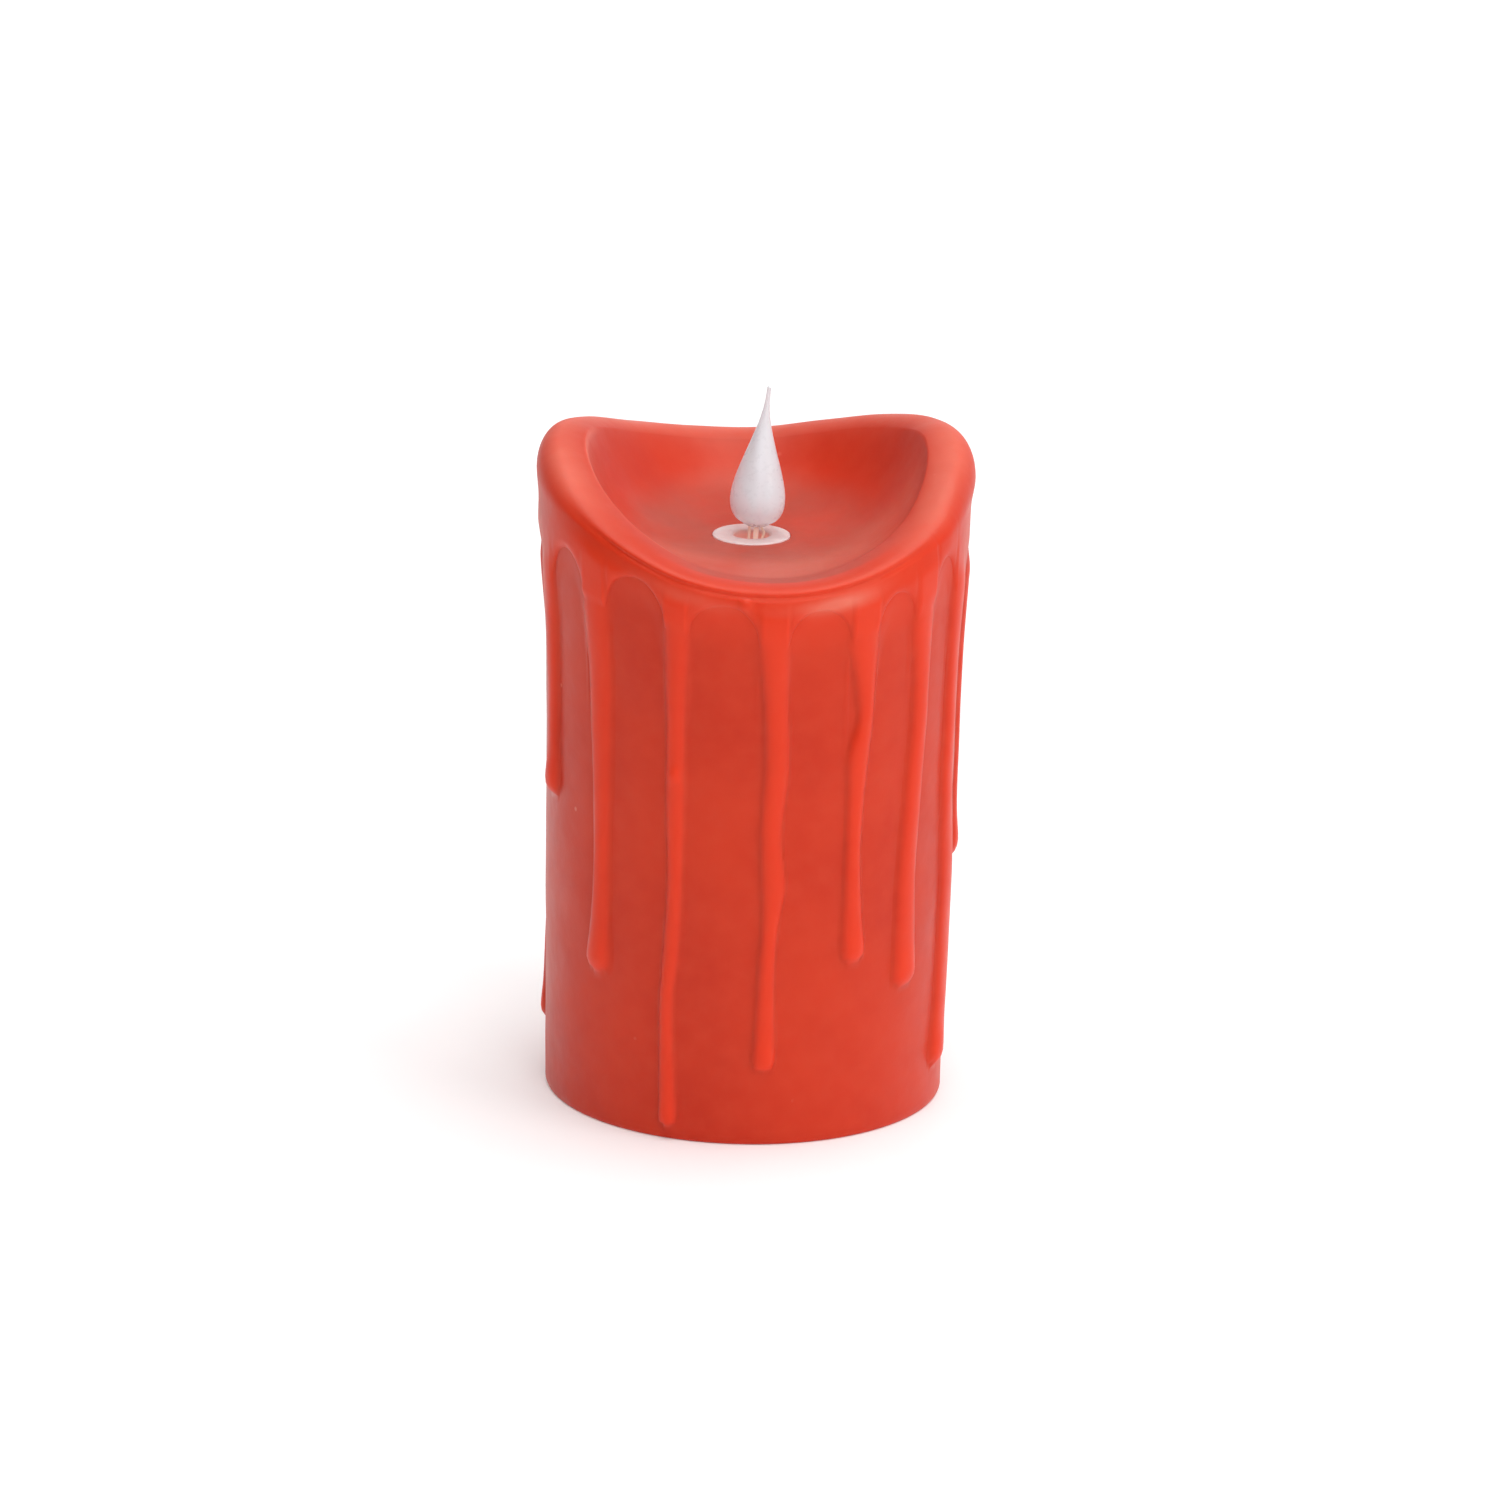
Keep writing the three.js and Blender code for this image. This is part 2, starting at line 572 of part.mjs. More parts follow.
// The base closes the sleeve from below and holds the battery well, which opens downwards.
function baseHousing() {
  const outside = { x: well.halfX + well.wall, y: well.halfY + well.wall };
  const wellTop = well.top + well.ceiling;
  const wellBox = block(0, 0, outside.x, outside.y, base.bottom, wellTop)
    .intersect(rod(base.rimRadius, 0, wellTop + 1, 48));
  const bosses = corners.map(([sx, sy]) =>
    rod(3.6, base.bottom, baseBossTop, 12).translate([sx * baseScrewSpot.x, sy * baseScrewSpot.y, 0]));
  const posts = [1, -1].map((side) => rod(1.9, plateTop - 0.5, 9.1, 8).translate([side * 7.8, slide.y, 0]));
  const body = join(
    rod(base.radius, base.bottom, plateTop, 64),
    tube(base.rimRadius, base.rimRadius - base.wall, plateTop - 0.5, base.rimTop, 48),
    wellBox,
    ...bosses,
    ...posts,
  );
  const screwHoles = corners.flatMap(([sx, sy]) => [
    rod(2.8, 0, headSeat, 12).translate([sx * baseScrewSpot.x, sy * baseScrewSpot.y, 0]),
    rod(1.5, 0, baseBossTop + 1, 8).translate([sx * baseScrewSpot.x, sy * baseScrewSpot.y, 0]),
  ]);
  const doorHooks = [1, -1].map((side) => block(well.halfX + 1, side * 8, 1.4, 2.4, 2.1, 4.8));
  const finger = rod(6.5, 0, 2, 20).translate([-well.halfX - 2.4, 0, 0]);
  const latchRecess = block(-well.halfX - 0.3, 0, 0.8, 4.4, 0, 5.4);
  const hollow = cut(
    body,
    block(0, 0, well.halfX, well.halfY, -1, well.top),
    ...screwHoles,
    ...[1, -1].map((side) => rod(1.05, 3.4, 10, 8).translate([side * 7.8, slide.y, 0])),
    ...doorHooks,
    finger,
    latchRecess,
    block(0, slide.y, 7, 3.6, 0, 2),
    block(0, slide.y, slide.knobX + slide.travel + 0.2, slide.knobY + 0.2, 0, plateTop + 1),
    ...[1, -1].map((side) => block(well.halfX - 0.7, side * cell.y, 0.6, contact.tabHalf + 0.3, 16, 21)),
  );
  const catchNib = block(-well.halfX - 0.8, 0, 0.35, 3, 2.9, 3.3);
  const ledges = [1, -1].map((side) => block(0, side * (well.halfY - 0.3), 12, 0.7, 2.8, 4.2));
  return join(hollow, catchNib, ...ledges);
}

// The battery door, with two hooks at its hinge end, a latch at the other and grip ribs.
function batteryDoor() {
  const top = base.bottom + door.thickness;
  const hooks = [1, -1].flatMap((side) => [
    block(door.halfX - 1, side * 8, 1, 1.9, top - 0.4, 3.6),
    block(door.halfX + 0.4, side * 8, 0.9, 1.9, 2.7, 3.6),
  ]);
  const latch = join(
    block(-door.halfX + 0.5, 0, 0.5, 3.6, top - 0.4, 5),
    block(-door.halfX - 0.1, 0, 0.5, 2.6, 3.7, 4.4),
    block(-door.halfX - 0.35, 0, 0.55, 3.6, base.bottom, base.bottom + 0.9),
  );
  const ribs = [0, 1, 2, 3].map((i) => block(-door.halfX + 6 + 2.2 * i, 0, 0.5, 7, 0, base.bottom + 0.5));
  const plate = block(0, 0, door.halfX, door.halfY, base.bottom, top);
  return cut(join(plate, ...hooks, latch), ...ribs);
}

// ---------------------------------------------------------------- power

const switchBoard = { bottom: 9.4, top: 10.6, halfX: 10, halfY: 5 };
const bodyOfSwitch = { halfX: 5.5, halfY: 2.8, bottom: 4.6, top: 9.1 };
const contactX = well.halfX - 0.3 - contact.thickness / 2;
const nubTip = contactX - contact.thickness / 2 - 0.9; // where a cell's nub meets its contact's dimple

function batteryCell() {
  const outline = [
    [0, 0],
    [cell.radius - 0.6, 0],
    [cell.radius, 0.6],
    [cell.radius, cell.can - 0.6],
    [cell.radius - 0.6, cell.can],
    [cell.nubRadius, cell.can],
    [cell.nubRadius, cell.can + cell.nub],
    [0, cell.can + cell.nub],
  ];
  return turned(outline, 24).rotate(along.x).translate([nubTip - cell.can - cell.nub, cell.y, cell.z]);
}

// A leaf of contact metal at the well's +X end, with a solder tab through the ceiling.
function contactLeaf(y, dimpled) {
  const leaf = join(
    block(contactX, y, contact.thickness / 2, contact.halfWidth, contact.bottom, contact.top),
    block(contactX, y, contact.thickness / 2, contact.tabHalf, contact.top - 0.5, contact.tabTop),
  );
  return dimpled ? join(leaf, dimple(y)) : leaf;
}

function dimple(y) {
  const dome = turned([[0, 0], [1.9, 0], [1.2, 0.55], [0, 0.7]], 12);
  return dome.rotate([0, -90, 0]).translate([contactX - contact.thickness / 2 + 0.1, y, cell.z]);
}

// The plate that joins the two cells in series at the well's -X end.
function contactBridge() {
  const halfWidth = cell.y + contact.halfWidth;
  const plate = block(-contactX, 0, contact.thickness / 2, halfWidth, contact.bottom, contact.top);
  return join(plate, dimple(-cell.y).mirror([1, 0, 0]));
}

// A conical spring from a contact plate at -X to the flat end of a cell.
function batterySpring() {
  const from = -contactX + contact.thickness / 2 + 0.2 + spring.wire;
  const to = nubTip - cell.can - cell.nub - 0.2 - spring.wire;
  const steps = 10 * spring.turns;
  const points = Array.from({ length: steps + 1 }, (_, i) => {
    const t = i / steps;
    const radius = lerp(spring.wide, spring.narrow, t);
    const turn = 2 * Math.PI * spring.turns * t;
    const rise = lerp(from, to, smoothstep(t, 0.08, 0.92));
    return [rise, cell.y + radius * Math.cos(turn), cell.z + radius * Math.sin(turn)];
  });
  return wire(points, spring.wire, steps, 5);
}

function switchKnob() {
  return join(
    block(0, slide.y, slide.knobX, slide.knobY, 1, 3.7),
    block(0, slide.y, 0.9, 0.7, 3.5, 5.8),
  );
}

function switchBody() {
  return cut(
    block(0, slide.y, bodyOfSwitch.halfX, bodyOfSwitch.halfY, bodyOfSwitch.bottom, bodyOfSwitch.top),
    block(0, slide.y, 3.3, 1, 4, 6.6),
  );
}

function switchCircuitBoard() {
  const holes = [1, -1].map((side) => rod(1.1, 9, 11, 12).translate([side * 7.8, slide.y, 0]));
  const { halfX, halfY, bottom, top } = switchBoard;
  return cut(block(0, slide.y + 0.2, halfX, halfY, bottom, top), ...holes);
}

// ---------------------------------------------------------------- flame mechanism

// The mechanism's barrel and neck, whole, before it is split into its front and rear halves.
function mechanismBarrel() {
  const inside = mechanism.radius - mechanism.wall;
  const barrel = turned([
    [3, mechanism.bottom],
    [mechanism.radius, mechanism.bottom],
    [mechanism.radius, mechanism.shoulder],
    [mechanism.neckRadius, mechanism.shoulder],
    [mechanism.neckRadius, mechanism.neckTop],
    [mechanism.neckBore, mechanism.neckTop],
    [mechanism.neckBore, mechanism.shoulder - mechanism.wall],
    [inside, mechanism.shoulder - mechanism.wall],
    [inside, mechanism.ledge],
    [inside - 1.1, mechanism.ledge],
    [inside - 1.1, mechanism.ledge - 1.2],
    [inside, mechanism.ledge - 2.4],
    [inside, mechanism.bottom + mechanism.wall],
    [3, mechanism.bottom + mechanism.wall],
    [3, mechanism.bottom],
  ], 32);
  const ears = [1, -1].map((side) =>
    block(0, side * 17, 3.6, 5.4, mechanism.earBottom, mechanism.earTop));
  const sideEars = [1, -1].map((side) =>
    block(side * mechanism.sideEarX, 0, 3.2, 4, mechanism.sideEarZ - 3.2, mechanism.sideEarZ + 3.2));
  const inner = rod(inside, mechanism.ledge, mechanism.shoulder - mechanism.wall, 32);
  const earHoles = [1, -1].map((side) =>
    rod(1.5, mechanism.earBottom - 1, mechanism.earTop + 1, 8).translate([0, side * mechanism.earY, 0]));
  const pivotSeat = rod(pivot.seat, -10, 10, 12).rotate(along.x).translate([0, 0, pivot.height]);
  const leadNotch = block(-9.2, 4.6, 1.4, 1.4, mechanism.bottom - 1, mechanism.bottom + 2);
  return cut(
    join(cut(join(...ears, ...sideEars), inner), barrel),
    ...earHoles,
    pivotSeat,
    leadNotch,
    leadNotch.mirror([0, 1, 0]),
  );
}

// One half of the barrel: side -1 is the front, with clear holes for the screws, and 1 the rear.
function mechanismHalf(side) {
  const half = block(0, side * (25 + gap / 2), 30, 25, mechanism.bottom - 1, mechanism.neckTop + 1);
  const holes = [1, -1].map((end) =>
    rod(side < 0 ? 1.5 : 1.3, -5, side < 0 ? 1 : 3.2, 8)
      .rotate([side < 0 ? 90 : -90, 0, 0])
      .translate([end * (mechanism.sideEarX + 0.4), 0, mechanism.sideEarZ]));
  const bores = side < 0 ? holes.map((hole) => join(hole, hole.mirror([0, 1, 0]))) : holes;
  return cut(mechanismBarrel().intersect(half), ...bores);
}

function flameCollar() {
  const under = collarTop - collar.flange;
  return turned([
    [collar.hole, collar.skirtBottom],
    [collar.skirtRadius, collar.skirtBottom],
    [collar.skirtRadius, under],
    [collar.radius, under],
    [collar.radius, collarTop - 0.25],
    [collar.radius - 0.3, collarTop],
    [collar.hole + 0.3, collarTop],
    [collar.hole, collarTop - 0.25],
    [collar.hole, collar.skirtBottom],
  ], 48);
}

function coilBobbin() {
  const spool = turned([
    [coil.bore, coil.bottom],
    [coil.flangeRadius, coil.bottom],
    [coil.flangeRadius, coil.bottom + coil.flange],
    [coil.core, coil.bottom + coil.flange],
    [coil.core, coil.top - coil.flange],
    [coil.flangeRadius, coil.top - coil.flange],
    [coil.flangeRadius, coil.top],
    [coil.bore, coil.top],
    [coil.bore, coil.bottom],
  ], 20);
  const peg = rod(0.6, board.bottom - 0.6, coil.bottom + 0.4, 10);
  const pegs = [1, -1].map((side) => peg.translate([side * coil.pegX, 0, 0]));
  return join(spool, ...pegs);
}

function coilWinding() {
  const low = coil.bottom + coil.flange + gap;
  const high = coil.top - coil.flange - gap;
  return tube(coil.radius, coil.core + gap, low, high, 20);
}

function controlBoard() {
  const pegHole = rod(0.85, board.bottom - 1, board.top + 1, 10);
  const pegHoles = [1, -1].map((side) => pegHole.translate([side * coil.pegX, 0, 0]));
  return cut(rod(board.radius, board.bottom, board.top, 28), ...pegHoles);
}

function capacitor() {
  const top = board.bottom - gap;
  const outline = [[0, top - 7], [2.2, top - 7], [2.5, top - 6.7], [2.5, top], [0, top]];
  return turned(outline, 16).translate([4.6, 5, 0]);
}

// ---------------------------------------------------------------- pendulum

// The carrier: a hub with an oversize hole that rocks on the pivot wire, a web that runs up between
// the LED's legs, and a cup for the magnet.
function flameCarrier() {
  const hub = rod(pendulum.hubRadius, -pendulum.hubHalf, pendulum.hubHalf, 16).rotate(along.x);
  const web = block(0, 0, pendulum.webX, pendulum.webY, pendulum.cupTop - 0.4, pendulum.webTop);
  const cup = turned([
    [0, pendulum.cupTop - 0.6],
    [pendulum.magnetRadius + gap, pendulum.cupTop - 0.6],
    [pendulum.magnetRadius + gap, pendulum.cupBottom],
    [pendulum.cupRadius, pendulum.cupBottom],
    [pendulum.cupRadius, pendulum.cupTop],
    [0, pendulum.cupTop],
  ], 24);
  const hole = rod(pendulum.hole, -4, 4, 12).rotate(along.x);
  return cut(join(hub, web, cup), hole);
}

function pendulumMagnet() {
  return rod(pendulum.magnetRadius, pendulum.cupBottom + 0.1, pendulum.cupTop - 0.9, 24);
}

// A point of the teardrop's outline: blunt below and drawn out to a rounded tip above.
function teardrop(share) {
  const curve = (t) => t ** flame.blunt * (1 - t) ** flame.taper;
  const widest = flame.blunt / (flame.blunt + flame.taper);
  const drawn = (flame.radius * curve(share)) / curve(widest);
  const radius = Math.hypot(drawn, flame.point * smoothstep(share, 0.2, 0.7));
  return [radius, flame.bottom + share * flame.height];
}

// The flame is a thin shell, open below where the LED goes in.
function flameShell() {
  const top = flame.bottom + flame.height;
  const outside = Array.from({ length: 17 }, (_, i) => teardrop(0.006 + 0.978 * (i / 16) ** 1.4));
  const inside = [0.075, 0.13, 0.22, 0.34, 0.48, 0.62, 0.72].map((share) => {
    const [radius, height] = teardrop(share);
    return [radius - flame.wall, height];
  });
  const shell = turned([[0, flame.bottom], ...outside, [0.7 * flame.point, top - 0.12], [0, top]], 32);
  const hollow = turned([
    [0, flame.bottom - 1],
    [flame.mouth, flame.bottom - 1],
    [flame.mouth, flame.bottom + 0.9],
    ...inside,
    [0, flame.bottom + 0.78 * flame.height],
  ], 20);
  return cut(shell, hollow);
}

function flameLed() {
  const foot = flame.bottom + 0.3;
  return turned([
    [0, foot],
    [1.65, foot],
    [1.65, foot + 0.8],
    [1.45, foot + 0.8],
    [1.45, foot + 3.2],
    [1.05, foot + 4.3],
    [0, foot + 4.75],
  ], 16);
}

// A square leg of the LED through places, [x, height], from beside the hub up to the LED's foot.
function ledLeg(places) {
  const side = (shift) => places.map(([x, height]) => new THREE.Vector2(x + shift, height));
  const outline = new THREE.Shape([...side(pendulum.legHalf), ...side(-pendulum.legHalf).reverse()]);
  const bar = new THREE.ExtrudeGeometry(outline, { depth: 2 * pendulum.legHalf, bevelEnabled: false });
  return solid(bar.rotateX(Math.PI / 2).translate(0, pendulum.legHalf, 0));
}

// The cathode's leg has a kink under the LED's foot.
const anodePlaces = [[-pendulum.legX, pendulum.legBottom], [-pendulum.legX, flame.bottom]];
const cathodePlaces = [
  [pendulum.legX, pendulum.legBottom], [pendulum.legX, 13.6], [1.5, 14.4], [1.5, 14.8], [1, 15.5],
  [1, flame.bottom],
];

// ---------------------------------------------------------------- assembly

function addHousing() {
  piece('wax_shell', waxShell(), materials.wax);
  piece('core_sleeve', coreSleeve(), materials.whitePlastic);
  piece('base_housing', baseHousing(), materials.basePlastic);
  piece('battery_door', batteryDoor(), materials.basePlastic);
  corners.forEach(([sx, sy], i) => {
    const made = screw(12).translate([sx * baseScrewSpot.x, sy * baseScrewSpot.y, headSeat - gap]);
    piece(`base_screw_${i + 1}`, made, materials.steel);
  });
}

function addPower() {
  const turnedRound = (made) => made.rotate([0, 0, 180]);
  piece('battery_cell_1', batteryCell(), materials.batteryJacket);
  piece('battery_cell_2', turnedRound(batteryCell()), materials.batteryJacket);
  piece('contact_positive', contactLeaf(cell.y, true), materials.steel);
  piece('contact_negative', contactLeaf(-cell.y, false), materials.steel);
  piece('contact_bridge', contactBridge(), materials.steel);
  piece('battery_spring_1', batterySpring(), materials.steel);
  piece('battery_spring_2', turnedRound(batterySpring()), materials.steel);
  piece('switch_knob', switchKnob(), materials.blackPlastic);
  piece('switch_body', switchBody(), materials.steel);
  piece('switch_board', switchCircuitBoard(), materials.circuitBoard);
  [1, -1].forEach((side, i) => {
    const made = screw(6, 1.9, 1.3, 0.75).rotate([180, 0, 0])
      .translate([side * 7.8, slide.y, switchBoard.top + gap]);
    piece(`board_screw_${i + 1}`, made, materials.steel);
  });
}

// The mechanism and all that it carries sit together on the sleeve's deck.
const works = new THREE.Group();
works.position.x = mechanism.x;
candle.add(works);

function addMechanism() {
  piece('mechanism_shell_front', mechanismHalf(-1), materials.whitePlastic, works);
  piece('mechanism_shell_rear', mechanismHalf(1), materials.whitePlastic, works);
  piece('flame_collar', flameCollar(), materials.whitePlastic, works);
  piece('coil_bobbin', coilBobbin(), materials.whitePlastic, works);
  piece('coil_winding', coilWinding(), materials.copper, works);
  piece('control_board', controlBoard(), materials.circuitBoard, works);
  const under = board.bottom - gap;
  piece('controller_chip', block(-3.5, 4.5, 2.5, 2, under - 1.6, under), materials.blackPlastic, works);
  piece('filter_capacitor', capacitor(), materials.blackPlastic, works);
  [-1, 0, 1].forEach((place, i) => {
    const made = block(3 * place, -4.5, 1, 0.6, under - 0.6, under);
    piece(`chip_resistor_${i + 1}`, made, materials.blackPlastic, works);
  });
  [1, -1].forEach((side, i) => {
    const hanging = screw(9).translate([0, side * mechanism.earY, mechanism.earBottom - gap]);
    piece(`mechanism_screw_${i + 1}`, hanging, materials.steel, works);
    const across = screw(6.6, 2, 1.4, 0.95).rotate([-90, 0, 0])
      .translate([side * (mechanism.sideEarX + 0.4), -4 - gap, mechanism.sideEarZ]);
    piece(`shell_screw_${i + 1}`, across, materials.steel, works);
  });
}

// Insulated leads inside the sleeve, and the fine wires that feed the LED across the pivot.
function addWiring() {
  const tab = contactX + contact.thickness / 2 + 1.05;
  const toBoard = (side) => [
    [-9.2, side * 4.6, 51.2], [-8.6, side * 4.5, 55], [-8.4, side * 4.4, 59.2],
  ].map(([x, y, z]) => [x + mechanism.x, y, z]);
  const batteryToSwitch = [
    [tab, cell.y, 20.4], [tab - 0.4, 4.5, 23], [26, -2, 24.4], [19, -12, 23.8], [11, -20, 19.6],
    [5.6, -24.6, 15], [4, -26.8, 11.6],
  ];
  const switchToBoard = [
    [-4, -26.8, 11.6], [-6, -25.6, 15], [-12, -20, 24], [-19, -8, 34], [-17, 2, 42], [-11.2, 4.7, 47.4],
    ...toBoard(1),
  ];
  const batteryToBoard = [
    [tab, -cell.y, 20.4], [tab - 0.6, -7, 23.4], [25, -4, 28], [10, -7, 36], [-5, -9, 43],
    [-10.4, -5.4, 47.4], ...toBoard(-1),
  ];
  piece('lead_battery_to_switch', wire(batteryToSwitch, 0.65, 18, 6), materials.redLead);
  piece('lead_switch_to_board', wire(switchToBoard, 0.65, 24, 6), materials.redLead);
  piece('lead_battery_to_board', wire(batteryToBoard, 0.65, 24, 6), materials.blackLead);
  const pigtail = (side) => [
    [side * 2.2, 0, pivot.height + 3.4], [side * 3.3, 0.4, pivot.height + 1.9],
    [side * 3.7, 2.2, pivot.height - 1.5], [side * 4.1, 2.8, pivot.height - 5],
    [side * 7.8, 4.6, 82], [side * 10, 4.8, 72], [side * 9.6, 4, 61.8],
  ];
  piece('pigtail_anode', wire(pigtail(-1), 0.18, 18, 5), materials.copper, works);
  piece('pigtail_cathode', wire(pigtail(1), 0.18, 18, 5), materials.copper, works);
}

function addPendulum() {
  piece('pivot_wire', rod(pivot.wireRadius, -pivot.halfLength, pivot.halfLength, 14).rotate(along.x)
    .translate([0, 0, pivot.height]), materials.steel, works);
  const swinging = new THREE.Group();
  swinging.position.z = pivot.height;
  swinging.rotation.y = radians(pivot.lean);
  works.add(swinging);
  piece('flame_carrier', flameCarrier(), materials.stemPlastic, swinging);
  piece('pendulum_magnet', pendulumMagnet(), materials.steel, swinging);
  piece('flame_shell', flameShell(), materials.flame, swinging);
  piece('flame_led', flameLed(), materials.ledEpoxy, swinging);
  piece('led_leg_anode', ledLeg(anodePlaces), materials.brass, swinging);
  piece('led_leg_cathode', ledLeg(cathodePlaces), materials.brass, swinging);
}

addHousing();
addPower();
addMechanism();
addWiring();
addPendulum();

export default candle;
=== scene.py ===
"""The looks of a flameless LED pillar candle: dripping red wax, a milky teardrop flame on its stem,
the white collar round it, and the plastic, metal and circuitry inside.

Lengths in the shape functions are millimetres and become metres when a mesh is made. An angle round
the candle is in degrees from the front (-Y), growing towards +X.
"""

import json
import math

import bpy
import numpy as np
from mathutils import Matrix, Vector


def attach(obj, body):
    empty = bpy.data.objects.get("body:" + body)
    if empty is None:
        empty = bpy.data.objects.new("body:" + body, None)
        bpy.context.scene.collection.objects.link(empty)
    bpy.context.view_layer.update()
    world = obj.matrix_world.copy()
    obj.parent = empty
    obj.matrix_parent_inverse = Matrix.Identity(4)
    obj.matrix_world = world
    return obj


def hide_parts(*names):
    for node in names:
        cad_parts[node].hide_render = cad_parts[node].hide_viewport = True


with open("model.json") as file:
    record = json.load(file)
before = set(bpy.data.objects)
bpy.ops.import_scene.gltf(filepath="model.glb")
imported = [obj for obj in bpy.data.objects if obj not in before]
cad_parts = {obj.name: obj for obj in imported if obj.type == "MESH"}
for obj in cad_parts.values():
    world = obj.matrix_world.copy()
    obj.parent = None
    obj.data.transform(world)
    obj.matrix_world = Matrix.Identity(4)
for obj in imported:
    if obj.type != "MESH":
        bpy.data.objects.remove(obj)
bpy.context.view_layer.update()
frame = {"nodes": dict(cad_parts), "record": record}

MM = 0.001
SEED = 7

# ---------------------------------------------------------------- dimensions

BASE_RADIUS = 38.0
TAPER = 0.9 / 80  # the body's radius grows by this per millimetre of height
FLARE, FLARE_FROM, FLARE_OVER = 1.2, 80.0, 40.0  # and by this much more near the top
BORE_RADIUS = 34.5
BORE_TOP = 101.5
HOLE_RADIUS = 7.0  # for the mechanism's neck
SEAT_RADIUS = 7.42  # recess that the collar sits in
SEAT_HEIGHT = 107.4
POOL_HEIGHT = 108.6  # lowest level of the bowl
POOL_RADIUS = 9.0
INNER_EDGE = 32.2  # radius of the crease where the lip drops into the bowl
LIP = 4.2  # from the rim in to the crest
CREASE, CREASE_DROP, CREASE_WIDTH = 0.5, 1.6, 0.5  # the groove under the lip, below the crest
EDGE, EDGE_OVER = 1.0, 1.9  # the overflow's rounded lower edge: its height, and how soon it gets there
SOFTER = 1.6  # added to EDGE_OVER on the right of the front
FILLET, FILLET_OVER = 0.5, 5.2  # the low slope below that edge
THINNED = 0.55  # taken off the overflow again towards the lip
LEFT_FLANK = 0.45  # share of the overflow that is missing on the left flank, under the lip
RIGHT_FLANK = 0.75
ARCH_RISE = 7.5
DRIP = 1.5  # height of a drip above the body
BULB = 0.45  # added to it at the tip
NUBS = [[-20.6, 72, 1.3, 0.5], [-2.0, 106.2, 1.3, 0.45]]  # small beads: angle, height, radius, rise
WAX_COLUMNS = 550
LIP_ROWS = 12

AXIS_X = -0.65  # the flame's mechanism, measured from the candle's axis
PIVOT_HEIGHT = 94.5
LEAN = 3.3  # of the pendulum at rest, in degrees

# The collar: a flat ring, with a skirt that goes down into the mechanism's neck.
COLLAR_TOP = 108.8
COLLAR_THICK = 0.8
COLLAR_RADIUS = 7.35
COLLAR_BORE = 3.4
SKIRT_RADIUS = 5.1
SKIRT_FOOT = 102.5

# The flame, with heights measured from the pivot.
FLAME_BOTTOM, FLAME_HEIGHT, FLAME_RADIUS = 16.1, 27.1, 5.2
FLAME_POINT = 0.42  # radius of its tip
FLAME_BLUNT, FLAME_TAPER = 0.42, 1.9  # how round it is below, and how drawn out above
FLAME_WALL, FLAME_MOUTH = 0.85, 2.0

# The LED's legs, as [x, height above the pivot] places beside the stem.
LEG_HALF = 0.24
STRAIGHT_LEG = [(-1.27, 3.2), (-1.27, 16.1)]
KINKED_LEG = [(1.27, 3.2), (1.27, 13.6), (1.5, 14.4), (1.5, 14.8), (1.0, 15.5), (1.0, 16.1)]
LEG_SIDES = 12
LEG_ROWS = 40

# Height of the rim's crest every 20 degrees, from the front round through +X.
RIM_HEIGHTS = [
    109.3, 109.7, 112.6, 117.4, 123.4, 127.4, 127.4, 125.2, 122.1,
    119.8, 120.4, 122.8, 126.0, 127.6, 125.6, 121.0, 115.8, 111.2,
]

